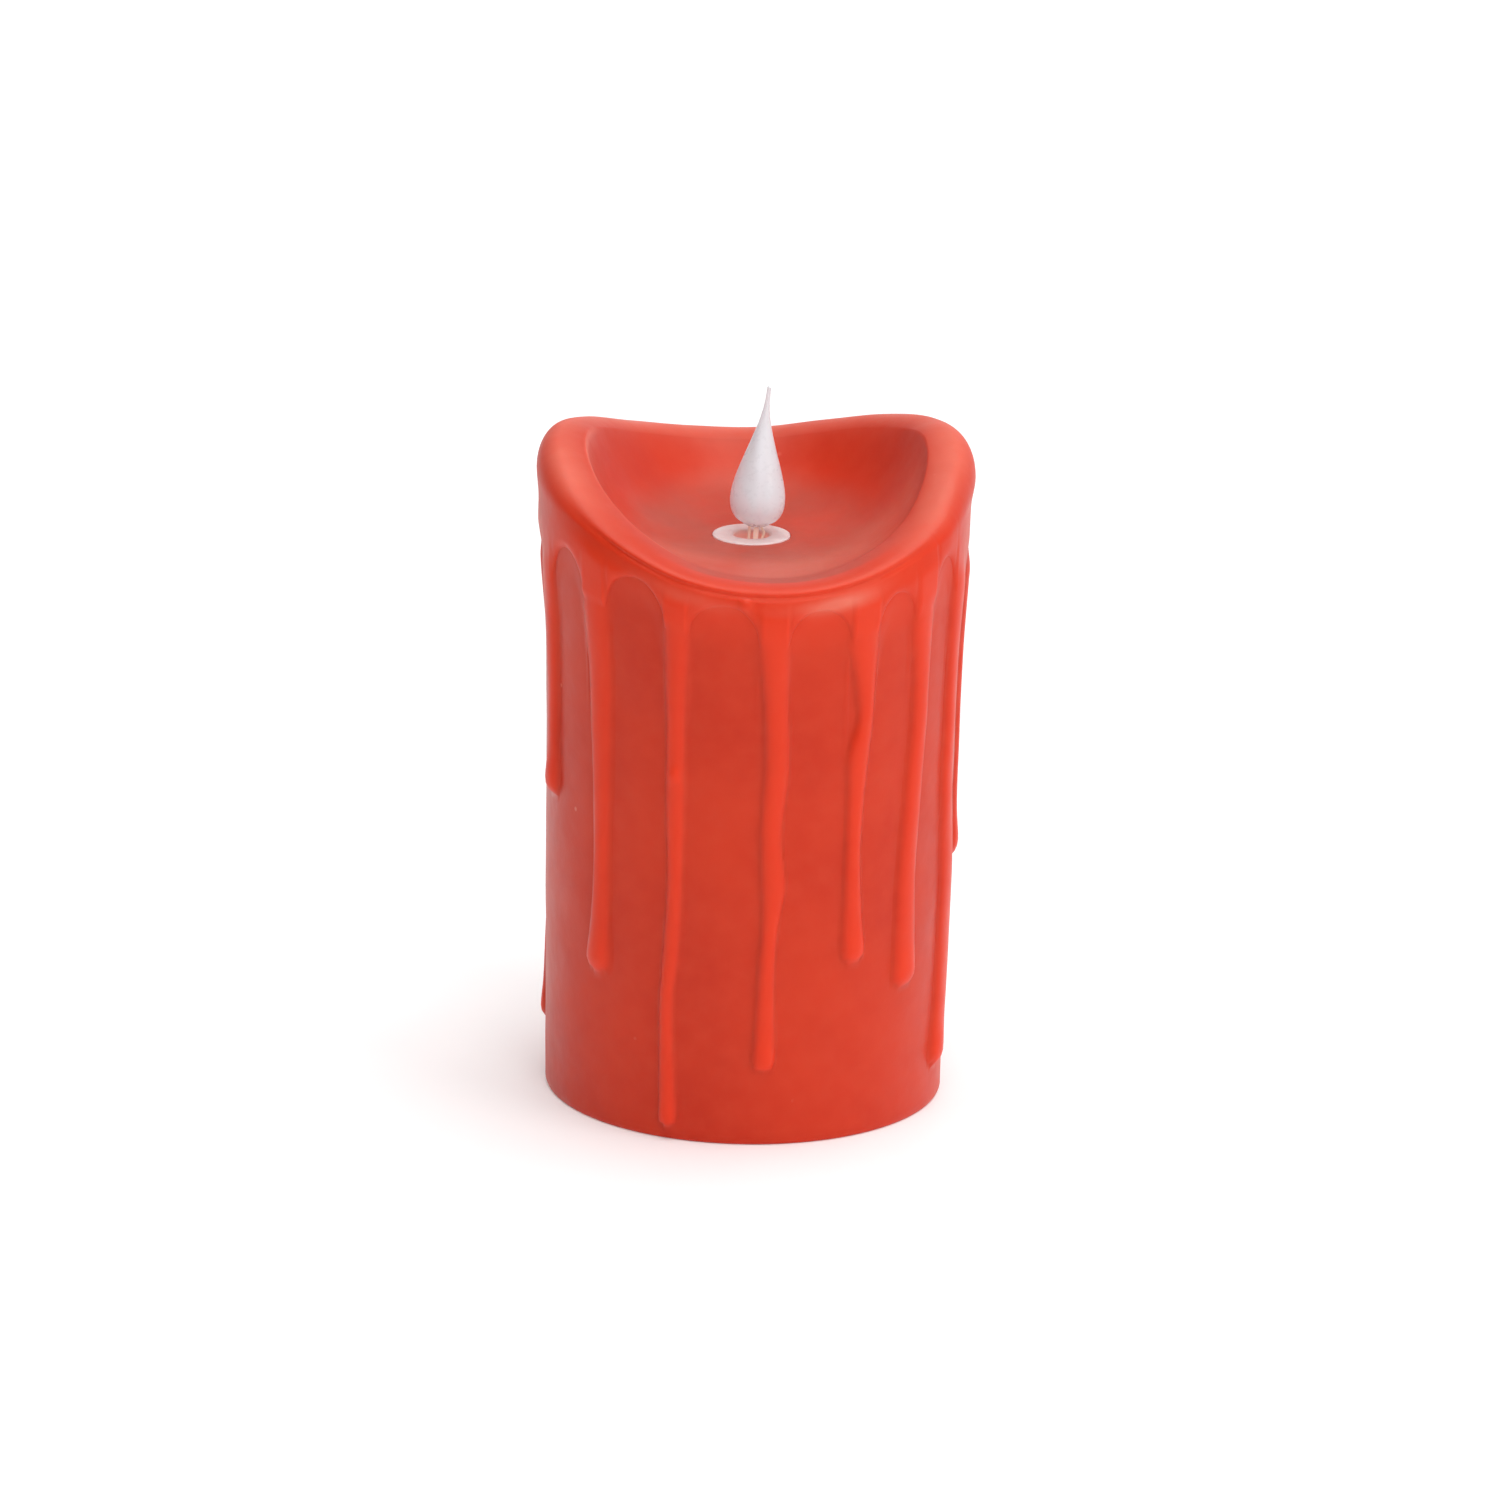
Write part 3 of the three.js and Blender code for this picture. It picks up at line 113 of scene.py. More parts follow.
# The drips, from the back round through -X, the front and +X. Each runs down a path of stations,
# [height, angle, width], to its tip; arch is the height of the overflow's edge before the next drip.
DRIPS = [
    {"tip": 55, "arch": 105, "path": [[100, -166, 6], [88, -166, 4.2], [70, -165, 4.0], [58, -165, 5.4]]},
    {"tip": 22, "arch": 107, "path": [[100, -143, 6], [80, -142, 4.0], [55, -144, 3.6], [25, -143, 5.0]]},
    {"tip": 38, "arch": 106, "path": [[100, -120, 6], [85, -120, 4.4], [60, -119, 4.2], [41, -119, 5.8]]},
    {"tip": 9, "arch": 110, "path": [[100, -101, 6], [80, -105, 4.4], [40, -106, 4.0], [12, -101, 5.2]]},
    {"tip": 60.5, "arch": 111, "path": [[102, -71.5, 6.5], [85, -71, 4.8], [72, -71, 4.8], [63, -71, 5.8]]},
    {"tip": 30, "arch": 109.3, "path": [
        [100, -46.6, 7.0], [90, -45.6, 6.2], [80, -45.2, 5.6], [64, -44.6, 4.6], [52, -44.7, 4.0],
        [42, -45.0, 4.8], [33, -45.6, 6.3],
    ]},
    {"tip": 2.6, "arch": 105.8, "path": [
        [100, -20.4, 5.4], [88, -20.6, 4.3], [67, -20.5, 3.9], [50, -20.2, 3.2], [37, -21.1, 3.4],
        [28, -22.2, 3.0], [16, -21.9, 3.2], [4.5, -21.3, 3.8],
    ]},
    {"tip": 14.7, "arch": 104.9, "path": [
        [99, 5.8, 6.2], [88, 6.7, 4.9], [76, 7.5, 4.9], [60, 6.3, 4.2], [50.5, 7.3, 4.7],
        [44, 6.6, 3.3], [36, 6.0, 3.2], [26, 5.8, 3.7], [17, 5.7, 4.3],
    ]},
    {"tip": 35, "arch": 106.5, "path": [
        [97, 31.2, 6.6], [89, 32.4, 4.4], [83, 32.8, 3.5], [76, 31.0, 4.7], [68, 30.5, 3.8],
        [55, 30.2, 3.5], [44, 30.7, 4.4], [37.5, 31.2, 5.2],
    ]},
    {"tip": 27.7, "arch": 110.5, "path": [
        [98, 52.2, 6.2], [88, 53.2, 4.7], [80, 53.2, 4.6], [66, 51.6, 4.8], [53, 50.4, 5.2],
        [31, 50.5, 6.2],
    ]},
    {"tip": 7.9, "arch": 108, "path": [
        [100, 71.8, 6.4], [85, 72.2, 5.2], [62, 72.3, 5.4], [48, 75.3, 7.2], [25, 74.4, 6.8],
        [11, 71.6, 6.2],
    ]},
    {"tip": 45, "arch": 106, "path": [[100, 97, 6], [85, 97, 4.6], [65, 97.2, 4.4], [48, 95, 6.4]]},
    {"tip": 66, "arch": 105, "path": [[100, 122, 6], [88, 122, 4.2], [78, 121, 4.0], [69, 121, 5.6]]},
    {"tip": 30, "arch": 106, "path": [[100, 147, 6], [80, 147, 4.2], [55, 148, 3.9], [33, 147, 5.4]]},
    {"tip": 12, "arch": 104, "path": [[100, 170, 6], [80, 170, 4.0], [45, 169, 3.6], [15, 170, 4.8]]},
]

# ---------------------------------------------------------------- shape of the wax


def smoothstep(value, low, high):
    """0 up to low, 1 from high on, and smooth between them."""
    t = np.clip((value - low) / (high - low), 0, 1)
    return t * t * (3 - 2 * t)


def bell(value, middle, width):
    """1 at the middle, fading to both sides."""
    return np.exp(-(((value - middle) / width) ** 2))


def around(degrees):
    """An angle brought into -180 to 180."""
    return (degrees + 540) % 360 - 180


def crest_height(angle):
    """The rim's crest: a smooth closed curve through RIM_HEIGHTS."""
    heights = np.array(RIM_HEIGHTS)
    place = (angle / 360 % 1) * len(heights)
    i = np.floor(place).astype(int)
    t = place - i
    a, b, c, d = (heights[(i + k) % len(heights)] for k in (-1, 0, 1, 2))
    bend = (2 * a - 5 * b + 4 * c - d) * t**2 + (3 * b - a - 3 * c + d) * t**3
    return 0.5 * (2 * b + (c - a) * t + bend)


def body_radius(height):
    """Radius of the bare body, before anything ran over it."""
    return BASE_RADIUS + TAPER * height + FLARE * smoothstep(height, FLARE_FROM, FLARE_FROM + FLARE_OVER)


def along_path(path, column, height):
    """A station value at each height: a smooth curve through the path's stations."""
    stations = np.array(path)[::-1]
    z, y = stations[:, 0], stations[:, column]
    slopes = np.gradient(y, z)
    height = np.clip(height, z[0], z[-1])
    i = np.clip(np.searchsorted(z, height) - 1, 0, len(z) - 2)
    step = z[i + 1] - z[i]
    t = (height - z[i]) / step
    rise = (t**3 - 2 * t**2 + t) * slopes[i] + (t**3 - t**2) * slopes[i + 1]
    return y[i] + (3 * t**2 - 2 * t**3) * (y[i + 1] - y[i]) + step * rise


def drip_thickness(drip, angle, height):
    """Height of one drip above the body: a rounded strand with a fuller, round tip."""
    width = along_path(drip["path"], 2, height)
    across = np.radians(around(angle - along_path(drip["path"], 1, height))) * body_radius(height)
    tip_centre = drip["tip"] + drip["path"][-1][2] / 2
    half = width / 2
    depth = half - np.hypot(across, np.maximum(0, tip_centre - height))
    share = np.clip(depth / half, 0, 1)
    swell = bell(height, tip_centre, 4)
    return (DRIP + BULB * swell) * np.sqrt(1 - (1 - share) ** 2.2)


def panel_middles():
    """Angle of the middle of the gap that follows each drip."""
    tops = [drip["path"][0][1] for drip in DRIPS]
    return [top + (tops[(i + 1) % len(tops)] - top) % 360 / 2 for i, top in enumerate(tops)]


def overflow_edge(angle):
    """The overflow's lower edge: its height, and the level of the round arch that it belongs to. An
    arch spans each gap and springs from the drips."""
    middles = panel_middles()
    edge, level = np.zeros_like(angle), np.zeros_like(angle)
    for i, drip in enumerate(DRIPS):
        _, top, width = drip["path"][0]
        before, after = (top - middles[i - 1]) % 360, (middles[i] - top) % 360
        offset = around(angle - top)
        share = (offset + before) / (before + after)
        here = DRIPS[i - 1]["arch"] + (drip["arch"] - DRIPS[i - 1]["arch"]) * smoothstep(share, 0, 1)
        reach = np.where(offset < 0, before, after)
        side = (reach - np.abs(offset)) / (reach - math.degrees(0.42 * width / BASE_RADIUS))
        fall = 1 - np.sqrt(1 - np.clip(side, 0, 1) ** 2)
        covered = (share > -1e-9) & (share < 1 + 1e-9)
        level = np.where(covered, here, level)
        edge = np.where(covered, here - ARCH_RISE * fall, edge)
    return edge, level


def above_edge(angle, height):
    """Distance of a point above the overflow's edge, measured square to that edge."""
    step = 0.25
    edge = overflow_edge(angle)[0]
    rise = overflow_edge(angle + step)[0] - overflow_edge(angle - step)[0]
    return (height - edge) / np.hypot(1, rise / math.radians(2 * step) / BASE_RADIUS)


def in_front(angle):
    """1 where the lip is low and narrow, fading to 0 at the sides."""
    return 1 - smoothstep(np.abs(around(angle)), 38, 68)


def to_the_right(angle):
    """1 on the right half of the front, where the arches are soft, fading to 0 outside it."""
    turn = around(angle)
    return smoothstep(turn, -34, -8) * (1 - smoothstep(turn, 55, 75))


def flank_loss(angle, height):
    """The share of the band that is missing on the flanks, under the lip: more on the right."""
    turn = around(angle)
    sides = smoothstep(np.abs(turn), 55, 85) * (1 - smoothstep(np.abs(turn), 105, 135))
    return np.where(turn > 0, RIGHT_FLANK, LEFT_FLANK) * sides * (1 - smoothstep(height, 115, 122))


def overflow(angle, height):
    """Thickness of the wax that has run over the body: a band below the lip, and the drips."""
    above = above_edge(angle, height)
    over = EDGE_OVER + SOFTER * to_the_right(angle)
    step = EDGE * np.sqrt(1 - (1 - np.clip(above / over, 0, 1)) ** 2)
    slope = FILLET * smoothstep(above, -FILLET_OVER, 0.4)
    level = overflow_edge(angle)[1]
    thinned = THINNED * smoothstep(height - level, -2, 8)
    near_lip = smoothstep(height - crest_height(angle), -6.5, -CREASE_DROP)
    kept = (1 - 0.85 * in_front(angle) * near_lip) * (1 - flank_loss(angle, height))
    band = (step + slope - thinned) * kept
    drips = np.zeros_like(band)
    for drip in DRIPS:
        drips = np.maximum(drips, drip_thickness(drip, angle, height))
    drips = drips * (1 - smoothstep(height - level, -6, 3))
    thickness = (band + drips + np.sqrt((band - drips) ** 2 + 0.09) - 0.3) / 2
    for place, middle, radius, rise in NUBS:
        away = np.hypot(np.radians(around(angle - place)) * BASE_RADIUS, height - middle)
        thickness = thickness + rise * np.sqrt(1 - np.clip(away / radius, 0, 1) ** 2)
    return thickness


def ripple(angle, height, seed, size):
    """Gentle unevenness of poured wax, which repeats without a seam round the candle."""
    waves = 14
    random = np.random.default_rng(seed)
    total = np.zeros(np.broadcast(angle, height).shape)
    for _ in range(waves):
        turns = random.integers(1, 13)
        pitch = random.uniform(14, 60)
        phase = random.uniform(0, 2 * np.pi, 2)
        round_it = np.sin(np.radians(angle) * turns + phase[0])
        total += round_it * np.sin(2 * np.pi * height / pitch + phase[1])
    return size * total / math.sqrt(waves)


def crease(angle, below_crest):
    """Depth of the groove between the lip and the overflow, which runs round the front."""
    return CREASE * in_front(angle) * bell(below_crest, CREASE_DROP, CREASE_WIDTH)


def shoulder_drop(angle):
    """How far the outer shoulder lies under the crest: tight in front, full at the sides and back."""
    return 1.7 + 3.7 * smoothstep(np.abs(around(angle)), 35, 85)


def wall_heights(angle, shoulder):
    """Heights of the wall's rows in each column, closest together round the overflow's edge."""
    edge = overflow_edge(angle)[0]
    low, high = edge - 6, np.minimum(edge + 2, shoulder - 0.5)
    stretches = [(0.6, low, 84), (low, edge - 0.4, 10), (edge - 0.4, high, 12), (high, shoulder, 16)]
    rows = []
    for start, end, count in stretches:
        rows += [start + (end - start) * share for share in np.arange(count) / count]
    return rows + [shoulder]


def soft_scoop(share):
    """The share of the crest's height above the pool that is left some way in, where the lip is soft."""
    fall = 1 / (1 + (share / 0.36) ** 2.8)
    last = 1 / (1 + (1 / 0.36) ** 2.8)
    return (fall - last) / (1 - last)


def scoop_shares():
    """Rows of the scoop: 0 at the crest, 1 at its inner edge, 2 at the collar, closest at the edge."""
    return np.concatenate([[0.25, 0.5, 0.75, 0.9], [0.97, 1.0, 1.012, 1.03], 1 + np.linspace(0.06, 1, 22)])


def warm_under_arch(angle, height):
    """The body takes on the run-over colour towards the arches, most of all to the right of the front."""
    most = 0.35 + 0.3 * to_the_right(angle)
    return most * smoothstep(height - overflow_edge(angle)[1], -15, 1)


def band_painted_highlight(angle, below_crest):
    """Painted highlights: pale patches of the band under the front of the lip."""
    turn = around(angle)
    patches = 1.2 * bell(turn, 22, 9.5) + 0.45 * bell(turn, -20, 14)
    return np.minimum(1, patches * bell(below_crest, 3.9, 1.4))


def lip_painted_highlight(angle):
    """How pale the crest of the lip is painted: a highlight at the sides and the back."""
    return 0.72 * smoothstep(np.abs(around(angle)), 35, 70)


def bowl_painted_highlight(angle, radius):
    """Painted highlights in the bowl: a pale line where the lip drops in on the left, and painted sheen on
    the slope in front of it and on the right."""
    turn = around(angle)
    on_left = smoothstep(turn, -118, -90) * (1 - smoothstep(turn, -40, -15))
    line = bell(radius, INNER_EDGE - 0.2, 0.35) * on_left
    in_view = smoothstep(turn, -80, -30) * (1 - smoothstep(turn, 70, 120))
    on_slope = smoothstep(radius, 13, 25) * (1 - smoothstep(radius, 30, 32))
    return np.maximum(line, 0.42 * in_view * on_slope)


# The closed section of the wax is a list of rows. A row is (radius, height, share of run-over colour,
# painted shade and sheen deep in the bowl, painted highlight) with one value for each column, the last
# three from 0 to 1.


def plain_row(radius, height, painted_bowl_shade=0.0):
    """A row that is the same all round."""
    flat = np.ones(WAX_COLUMNS)
    return radius * flat, height * flat, 0 * flat, painted_bowl_shade * flat, 0 * flat


def inner_rows():
    """The hollow inside, from the neck's hole outwards, down to the foot and out to the body."""
    places = [
        (HOLE_RADIUS, BORE_TOP), (20.0, BORE_TOP), (BORE_RADIUS, BORE_TOP), (BORE_RADIUS, 70.0),
        (BORE_RADIUS, 35.0), (BORE_RADIUS, 0.4), (BORE_RADIUS + 0.4, 0.0), (BASE_RADIUS - 0.7, 0.0),
        (BASE_RADIUS - 0.2, 0.15),
    ]
    return [plain_row(radius, height) for radius, height in places]


def wall_rows(angle):
    """The body with what ran over it, up to the shoulder, and its radius there without the groove."""
    crest = crest_height(angle)
    rows = []
    for level in wall_heights(angle, crest - shoulder_drop(angle)):
        height = level * np.ones_like(angle)
        below_crest = crest - height
        extra = overflow(angle, height)
        uneven = ripple(angle, height, SEED, 0.07) * smoothstep(height, 0, 12)
        radius = body_radius(height) + extra + uneven
        run_over = np.maximum(extra / DRIP, warm_under_arch(angle, height))
        # Painted highlight on the band just under the lip.
        pale = band_painted_highlight(angle, below_crest)
        rows.append((radius - crease(angle, below_crest), height, run_over, 0 * angle, pale))
    return rows, radius


def lip_rows(angle, rim, run_over):
    """The outside of the lip, rounded from the shoulder up to the crest."""
    crest, drop = crest_height(angle), shoulder_drop(angle)
    rows = []
    for turn in np.linspace(0, math.pi / 2, LIP_ROWS + 1)[1:]:
        up = math.sin(turn)
        height = crest - drop + drop * up
        radius = rim - LIP * (1 - math.cos(turn)) - crease(angle, crest - height)
        # A little painted sheen rises over the crest, with the lip's painted highlight.
        rows.append((radius, height, run_over, 0.25 * up * np.ones_like(angle), lip_painted_highlight(angle) * up**3))
    return rows


def scoop_rows(angle, crest_radius, run_over):
    """The bowl, from the crest over the inner edge and down to the collar."""
    crest = crest_height(angle)
    roll = 0.25 + 0.5 * smoothstep(crest - POOL_HEIGHT, 2.0, 9.0)  # fall of the crest to the inner edge
    depth = crest - roll - POOL_HEIGHT
    soft = smoothstep(np.abs(around(angle)), 95, 135)  # 1 at the back, where there is no inner edge
    rows = []
    for share in scoop_shares():
        outward = max(0, 1 - share)
        if share < 1:
            radius = crest_radius + share * (INNER_EDGE - crest_radius)
            crisp = crest - roll * (1 - outward) ** 2
            inward = np.clip((INNER_EDGE - radius) / (INNER_EDGE - POOL_RADIUS), 0, 1)
        else:
            radius = INNER_EDGE + (share - 1) * (SEAT_RADIUS + 0.3 - INNER_EDGE) + 0 * angle
            inward = np.clip((INNER_EDGE - radius) / (INNER_EDGE - POOL_RADIUS), 0, 1)
            crisp = POOL_HEIGHT + depth * (1 - inward) ** 3
        inside = (crest_radius - radius) / (crest_radius - SEAT_RADIUS)
        gentle = POOL_HEIGHT + (crest - POOL_HEIGHT) * soft_scoop(inside)
        height = crisp + (gentle - crisp) * soft
        # Painted shade and greyish sheen, stronger the deeper a point lies in the bowl; then the painted
        # highlights over the crest and the bowl's edges.
        painted_bowl_shade = np.maximum(0.25 * (1 - inward) ** 8, 1 - smoothstep(height, POOL_HEIGHT, 116))
        pale = np.maximum(lip_painted_highlight(angle) * outward**0.6, bowl_painted_highlight(angle, radius))
        rows.append((radius, height, run_over * outward, painted_bowl_shade, pale))
    return rows


def seat_rows():
    """The recess for the collar, and the hole down through it."""
    places = [
        (SEAT_RADIUS + 0.1, POOL_HEIGHT - 0.05), (SEAT_RADIUS, POOL_HEIGHT - 0.2),
        (SEAT_RADIUS, SEAT_HEIGHT), (HOLE_RADIUS, SEAT_HEIGHT),
    ]
    # The seat and the hole take the full painted shade of the bowl.
    return [plain_row(radius, height, 1.0) for radius, height in places]


def wax_section(angle):
    """All the rows, as five grids [row, column]."""
    wall, rim = wall_rows(angle)
    run_over = wall[-1][2]
    rows = inner_rows() + wall + lip_rows(angle, rim, run_over)
    rows += scoop_rows(angle, rim - LIP, run_over) + seat_rows()
    return [np.array(grid) for grid in zip(*rows)]


# ---------------------------------------------------------------- mesh helpers


def mesh_object(name, points, faces, smooth=True):
    """A mesh piece from points in millimetres."""
    mesh = bpy.data.meshes.new(name)
    mesh.from_pydata([tuple(p) for p in np.asarray(points) * MM], [], faces)
    mesh.update()
    if smooth:
        mesh.shade_smooth()
    made = bpy.data.objects.new(name, mesh)
    bpy.context.scene.collection.objects.link(made)
    return made


def ring_faces(rows, columns):
    """Quads of a grid that closes both ways."""
    faces = []
    for j in range(rows):
        low, high = j * columns, (j + 1) % rows * columns
        for i in range(columns):
            k = (i + 1) % columns
            faces.append((low + i, low + k, high + k, high + i))
    return faces


def make_wax():
    """The wax body. The hole and the seat in it are moved sideways to the flame's mechanism."""
    angle = np.arange(WAX_COLUMNS) * 360 / WAX_COLUMNS
    radius, height, run_over, bowl, painted_highlight = wax_section(angle)
    turn = np.radians(angle)
    across = radius * np.sin(turn) + AXIS_X * (1 - smoothstep(radius, POOL_RADIUS, 2 * POOL_RADIUS))
    points = np.stack([across, -radius * np.cos(turn), height], axis=-1)
    rows, columns = radius.shape
    wax = mesh_object("dripping_wax", points.reshape(-1, 3), ring_faces(rows, columns))
    # The bowl values hold painted shade and sheen deep in the bowl; the last ones hold painted highlights.
    for name, values in (("run_over", run_over), ("bowl", bowl), ("painted_highlight", painted_highlight)):
        made = wax.data.attributes.new(name, "FLOAT", "POINT")
        made.data.foreach_set("value", values.ravel().astype(np.float32))
    return wax


# ---------------------------------------------------------------- flame and collar


def make_turned(name, outline, columns, move):
    """A piece turned about +Z from a closed outline of [radius, height]; move puts its points in place."""
    turn = 2 * np.pi * np.arange(columns) / columns
    radius, height = np.array(outline).T[:, :, None]
    points = np.stack([radius * np.cos(turn), radius * np.sin(turn), height + 0 * turn], axis=-1)
    faces = ring_faces(len(outline), columns)[::-1]
    return mesh_object(name, move(points.reshape(-1, 3)), faces)


def on_pendulum(points):
    """Points measured from the pivot, along the pendulum's axis, put in their place."""
    lean = math.radians(LEAN)
    x, y, z = points.T
    across = AXIS_X + x * math.cos(lean) + z * math.sin(lean)
    return np.stack([across, y, PIVOT_HEIGHT + z * math.cos(lean) - x * math.sin(lean)], axis=-1)


def teardrop(share):
    """Radius of the flame at a share of its height: blunt below and drawn out to a round point."""
    curve = share**FLAME_BLUNT * (1 - share) ** FLAME_TAPER
    widest = FLAME_BLUNT / (FLAME_BLUNT + FLAME_TAPER)
    peak = widest**FLAME_BLUNT * (1 - widest) ** FLAME_TAPER
    return np.hypot(FLAME_RADIUS * curve / peak, FLAME_POINT * smoothstep(share, 0.2, 0.7))


def make_flame():
    """The hollow milky teardrop. Its upper half bows a little further over than the pendulum leans."""
    axis = 0.02  # all but on the axis
    shares = np.linspace(0, 1, 60) ** 1.6
    outline = [(FLAME_MOUTH, FLAME_BOTTOM)]
    outline += [(teardrop(share), FLAME_BOTTOM + share * FLAME_HEIGHT) for share in shares[8:-1]]
    point_centre = FLAME_BOTTOM + FLAME_HEIGHT - FLAME_POINT
    for turn in np.linspace(0, math.pi / 2, 8)[:-1]:
        outline.append((FLAME_POINT * math.cos(turn), point_centre + FLAME_POINT * math.sin(turn)))
    outline.append((axis, FLAME_BOTTOM + FLAME_HEIGHT))
    outline.append((axis, FLAME_BOTTOM + 0.78 * FLAME_HEIGHT))
    for share in np.linspace(0.72, 0.08, 20):
        outline.append((teardrop(share) - FLAME_WALL, FLAME_BOTTOM + share * FLAME_HEIGHT))
    outline.append((FLAME_MOUTH, FLAME_BOTTOM + 1))

    def bow(points):
        rise = (points[:, 2] - FLAME_BOTTOM) / FLAME_HEIGHT
        points[:, 0] += 1.3 * (rise - 0.35) ** 2 - 0.25
        return on_pendulum(points)

    return make_turned("teardrop_flame", outline, 72, bow)


def make_leg(name, places):
    """A square LED leg with rounded corners through [x, height] places beside the stem."""
    heights = np.linspace(places[0][1], places[-1][1], LEG_ROWS)
    known_across, known_heights = np.array(places).T
    across = np.interp(heights, known_heights, known_across)
    turn = 2 * np.pi * np.arange(LEG_SIDES) / LEG_SIDES
    square = LEG_HALF / np.maximum(np.abs(np.cos(turn)), np.abs(np.sin(turn))) ** 0.8
    x = across[:, None] + square * np.cos(turn)
    y = 0 * x + square * np.sin(turn)
    z = heights[:, None] + 0 * turn
    points = np.stack([x, y, z], axis=-1).reshape(-1, 3)
    last = (LEG_ROWS - 1) * LEG_SIDES
    foot = tuple(range(LEG_SIDES))[::-1]
    head = tuple(range(last, last + LEG_SIDES))
    sides = ring_faces(LEG_ROWS, LEG_SIDES)[:last]
    return mesh_object(name, on_pendulum(points), [foot, head] + sides)


def rounded(outline, radius, steps=4):
    """A closed outline with its corners rounded off."""
    points = [np.array(p, dtype=float) for p in outline]
    made = []
    for i, corner in enumerate(points):
        before, after = points[i - 1] - corner, points[(i + 1) % len(points)] - corner
        reach = min(radius, 0.45 * np.linalg.norm(before), 0.45 * np.linalg.norm(after))
        start = corner + before / np.linalg.norm(before) * reach
        end = corner + after / np.linalg.norm(after) * reach
        for t in np.linspace(0, 1, steps + 1):
            made.append(tuple((1 - t) ** 2 * start + 2 * t * (1 - t) * corner + t**2 * end))
    return made


def make_collar():
    """The white ring round the stem, softly rounded, with the skirt that goes down into the neck."""
    top, under = COLLAR_TOP, COLLAR_TOP - COLLAR_THICK
    outline = rounded([
        (COLLAR_BORE, SKIRT_FOOT), (SKIRT_RADIUS, SKIRT_FOOT), (SKIRT_RADIUS, under),
        (COLLAR_RADIUS, under), (COLLAR_RADIUS, top - 0.1), (COLLAR_RADIUS - 0.45, top),
        (COLLAR_BORE + 0.4, top), (COLLAR_BORE, top - 0.25),
    ], 0.3)

    def place(points):
        return points + np.array([AXIS_X, 0, 0])

    return make_turned("collar_ring", outline, 96, place)


# ---------------------------------------------------------------- camera, lights, floor


def add_camera():
    """A long lens about 1.5 m away, looking down on the candle and rolled a little."""
    distance, rise = 1.5, math.radians(19.5)
    camera = bpy.data.objects.new("camera", bpy.data.cameras.new("camera"))
    camera.data.sensor_width = 36
    camera.data.lens = 186.66
    tilt = Matrix.Rotation(math.radians(90 - 17.087), 4, "X")
    roll = Matrix.Rotation(math.radians(1.3), 4, "Z")
    place = Matrix.Translation((0, -distance * math.cos(rise), distance * math.sin(rise)))
    camera.matrix_world = place @ tilt @ roll
    bpy.context.scene.collection.objects.link(camera)
    bpy.context.scene.camera = camera


def add_softbox(name, location, target, size, power):
    """A rectangular area light that faces a target."""
    light = bpy.data.objects.new(name, bpy.data.lights.new(name, "AREA"))
    light.data.shape = "RECTANGLE"
    light.data.size, light.data.size_y = size
    light.data.energy = power
    light.location = location
    light.rotation_euler = (Vector(location) - Vector(target)).to_track_quat("Z", "Y").to_euler()
    bpy.context.scene.collection.objects.link(light)


def add_studio():
    """A white room that is darker to the left and in front, and three softboxes."""
    world = bpy.data.worlds.new("studio")
    bpy.context.scene.world = world
    world.use_nodes = True
    tree = world.node_tree
    backdrop = tree.nodes["Background"]
    backdrop.inputs["Color"].default_value = (1, 1, 1, 1)
    towards = split(tree, add(tree, "ShaderNodeTexCoord").outputs["Generated"])
    sideways = spread(tree, towards["X"], -1, 1, 0.24, 0.72)
    behind = spread(tree, towards["Y"], -1, 1, 0.55, 1.35)
    tree.links.new(math_node(tree, "MULTIPLY", sideways, behind), backdrop.inputs["Strength"])
    add_softbox("overhead", (0.1, 0, 1.2), (0, 0, 0.05), (1.0, 1.0), 9.6)
    add_softbox("above_camera", (0.2, -1.2, 1.0), (0, 0, 0.09), (0.9, 0.5), 6.2)
    add_softbox("right", (1.1, -0.7, 0.6), (0, 0, 0.07), (0.6, 0.8), 2.8)
    bpy.context.scene.view_settings.view_transform = "Standard"


def make_floor():
    """A square as wide as the room needs."""
    half = 3000
    points = [(-half, -half, 0), (half, -half, 0), (half, half, 0), (-half, half, 0)]
    return mesh_object("floor", points, [(0, 1, 2, 3)], smooth=False)


# ---------------------------------------------------------------- material nodes


def add(tree, kind, inputs=None, **settings):
    """A node with its settings, and its inputs set to values or joined to sockets."""
    made = tree.nodes.new(kind)
    for key, value in settings.items():
        setattr(made, key, value)
    for key, value in (inputs or {}).items():
        if isinstance(value, bpy.types.NodeSocket):
            tree.links.new(value, made.inputs[key])
        else:
            made.inputs[key].default_value = value
    return made


def new_material(name, roughness, **numbers):
    """A material, its tree, its shader and its object coordinates, in metres."""
    made = bpy.data.materials.new(name)
    made.use_nodes = True
    tree = made.node_tree
    shader = tree.nodes["Principled BSDF"]
    shader.inputs["Roughness"].default_value = roughness
    for key, value in numbers.items():
        shader.inputs[key.replace("_", " ")].default_value = value
    coords = add(tree, "ShaderNodeTexCoord").outputs["Object"]
    return made, tree, shader, coords


def noise(tree, coords, scale, detail=3.0, roughness=0.55):
    """Soft noise from 0 to 1, with so many features to the metre."""
    inputs = {"Vector": coords, "Scale": scale, "Detail": detail, "Roughness": roughness}
    return add(tree, "ShaderNodeTexNoise", inputs).outputs["Fac"]


def stretched(tree, coords, scale):
    """Coordinates squeezed or drawn out along the axes, for streaks."""
    return add(tree, "ShaderNodeMapping", {"Vector": coords, "Scale": scale}).outputs["Vector"]


def spread(tree, value, low, high, to_low=0.0, to_high=1.0):
    """A value's range low..high, stretched to another range and held at its ends."""
    inputs = {"Value": value, "From Min": low, "From Max": high, "To Min": to_low, "To Max": to_high}
    return add(tree, "ShaderNodeMapRange", inputs).outputs["Result"]


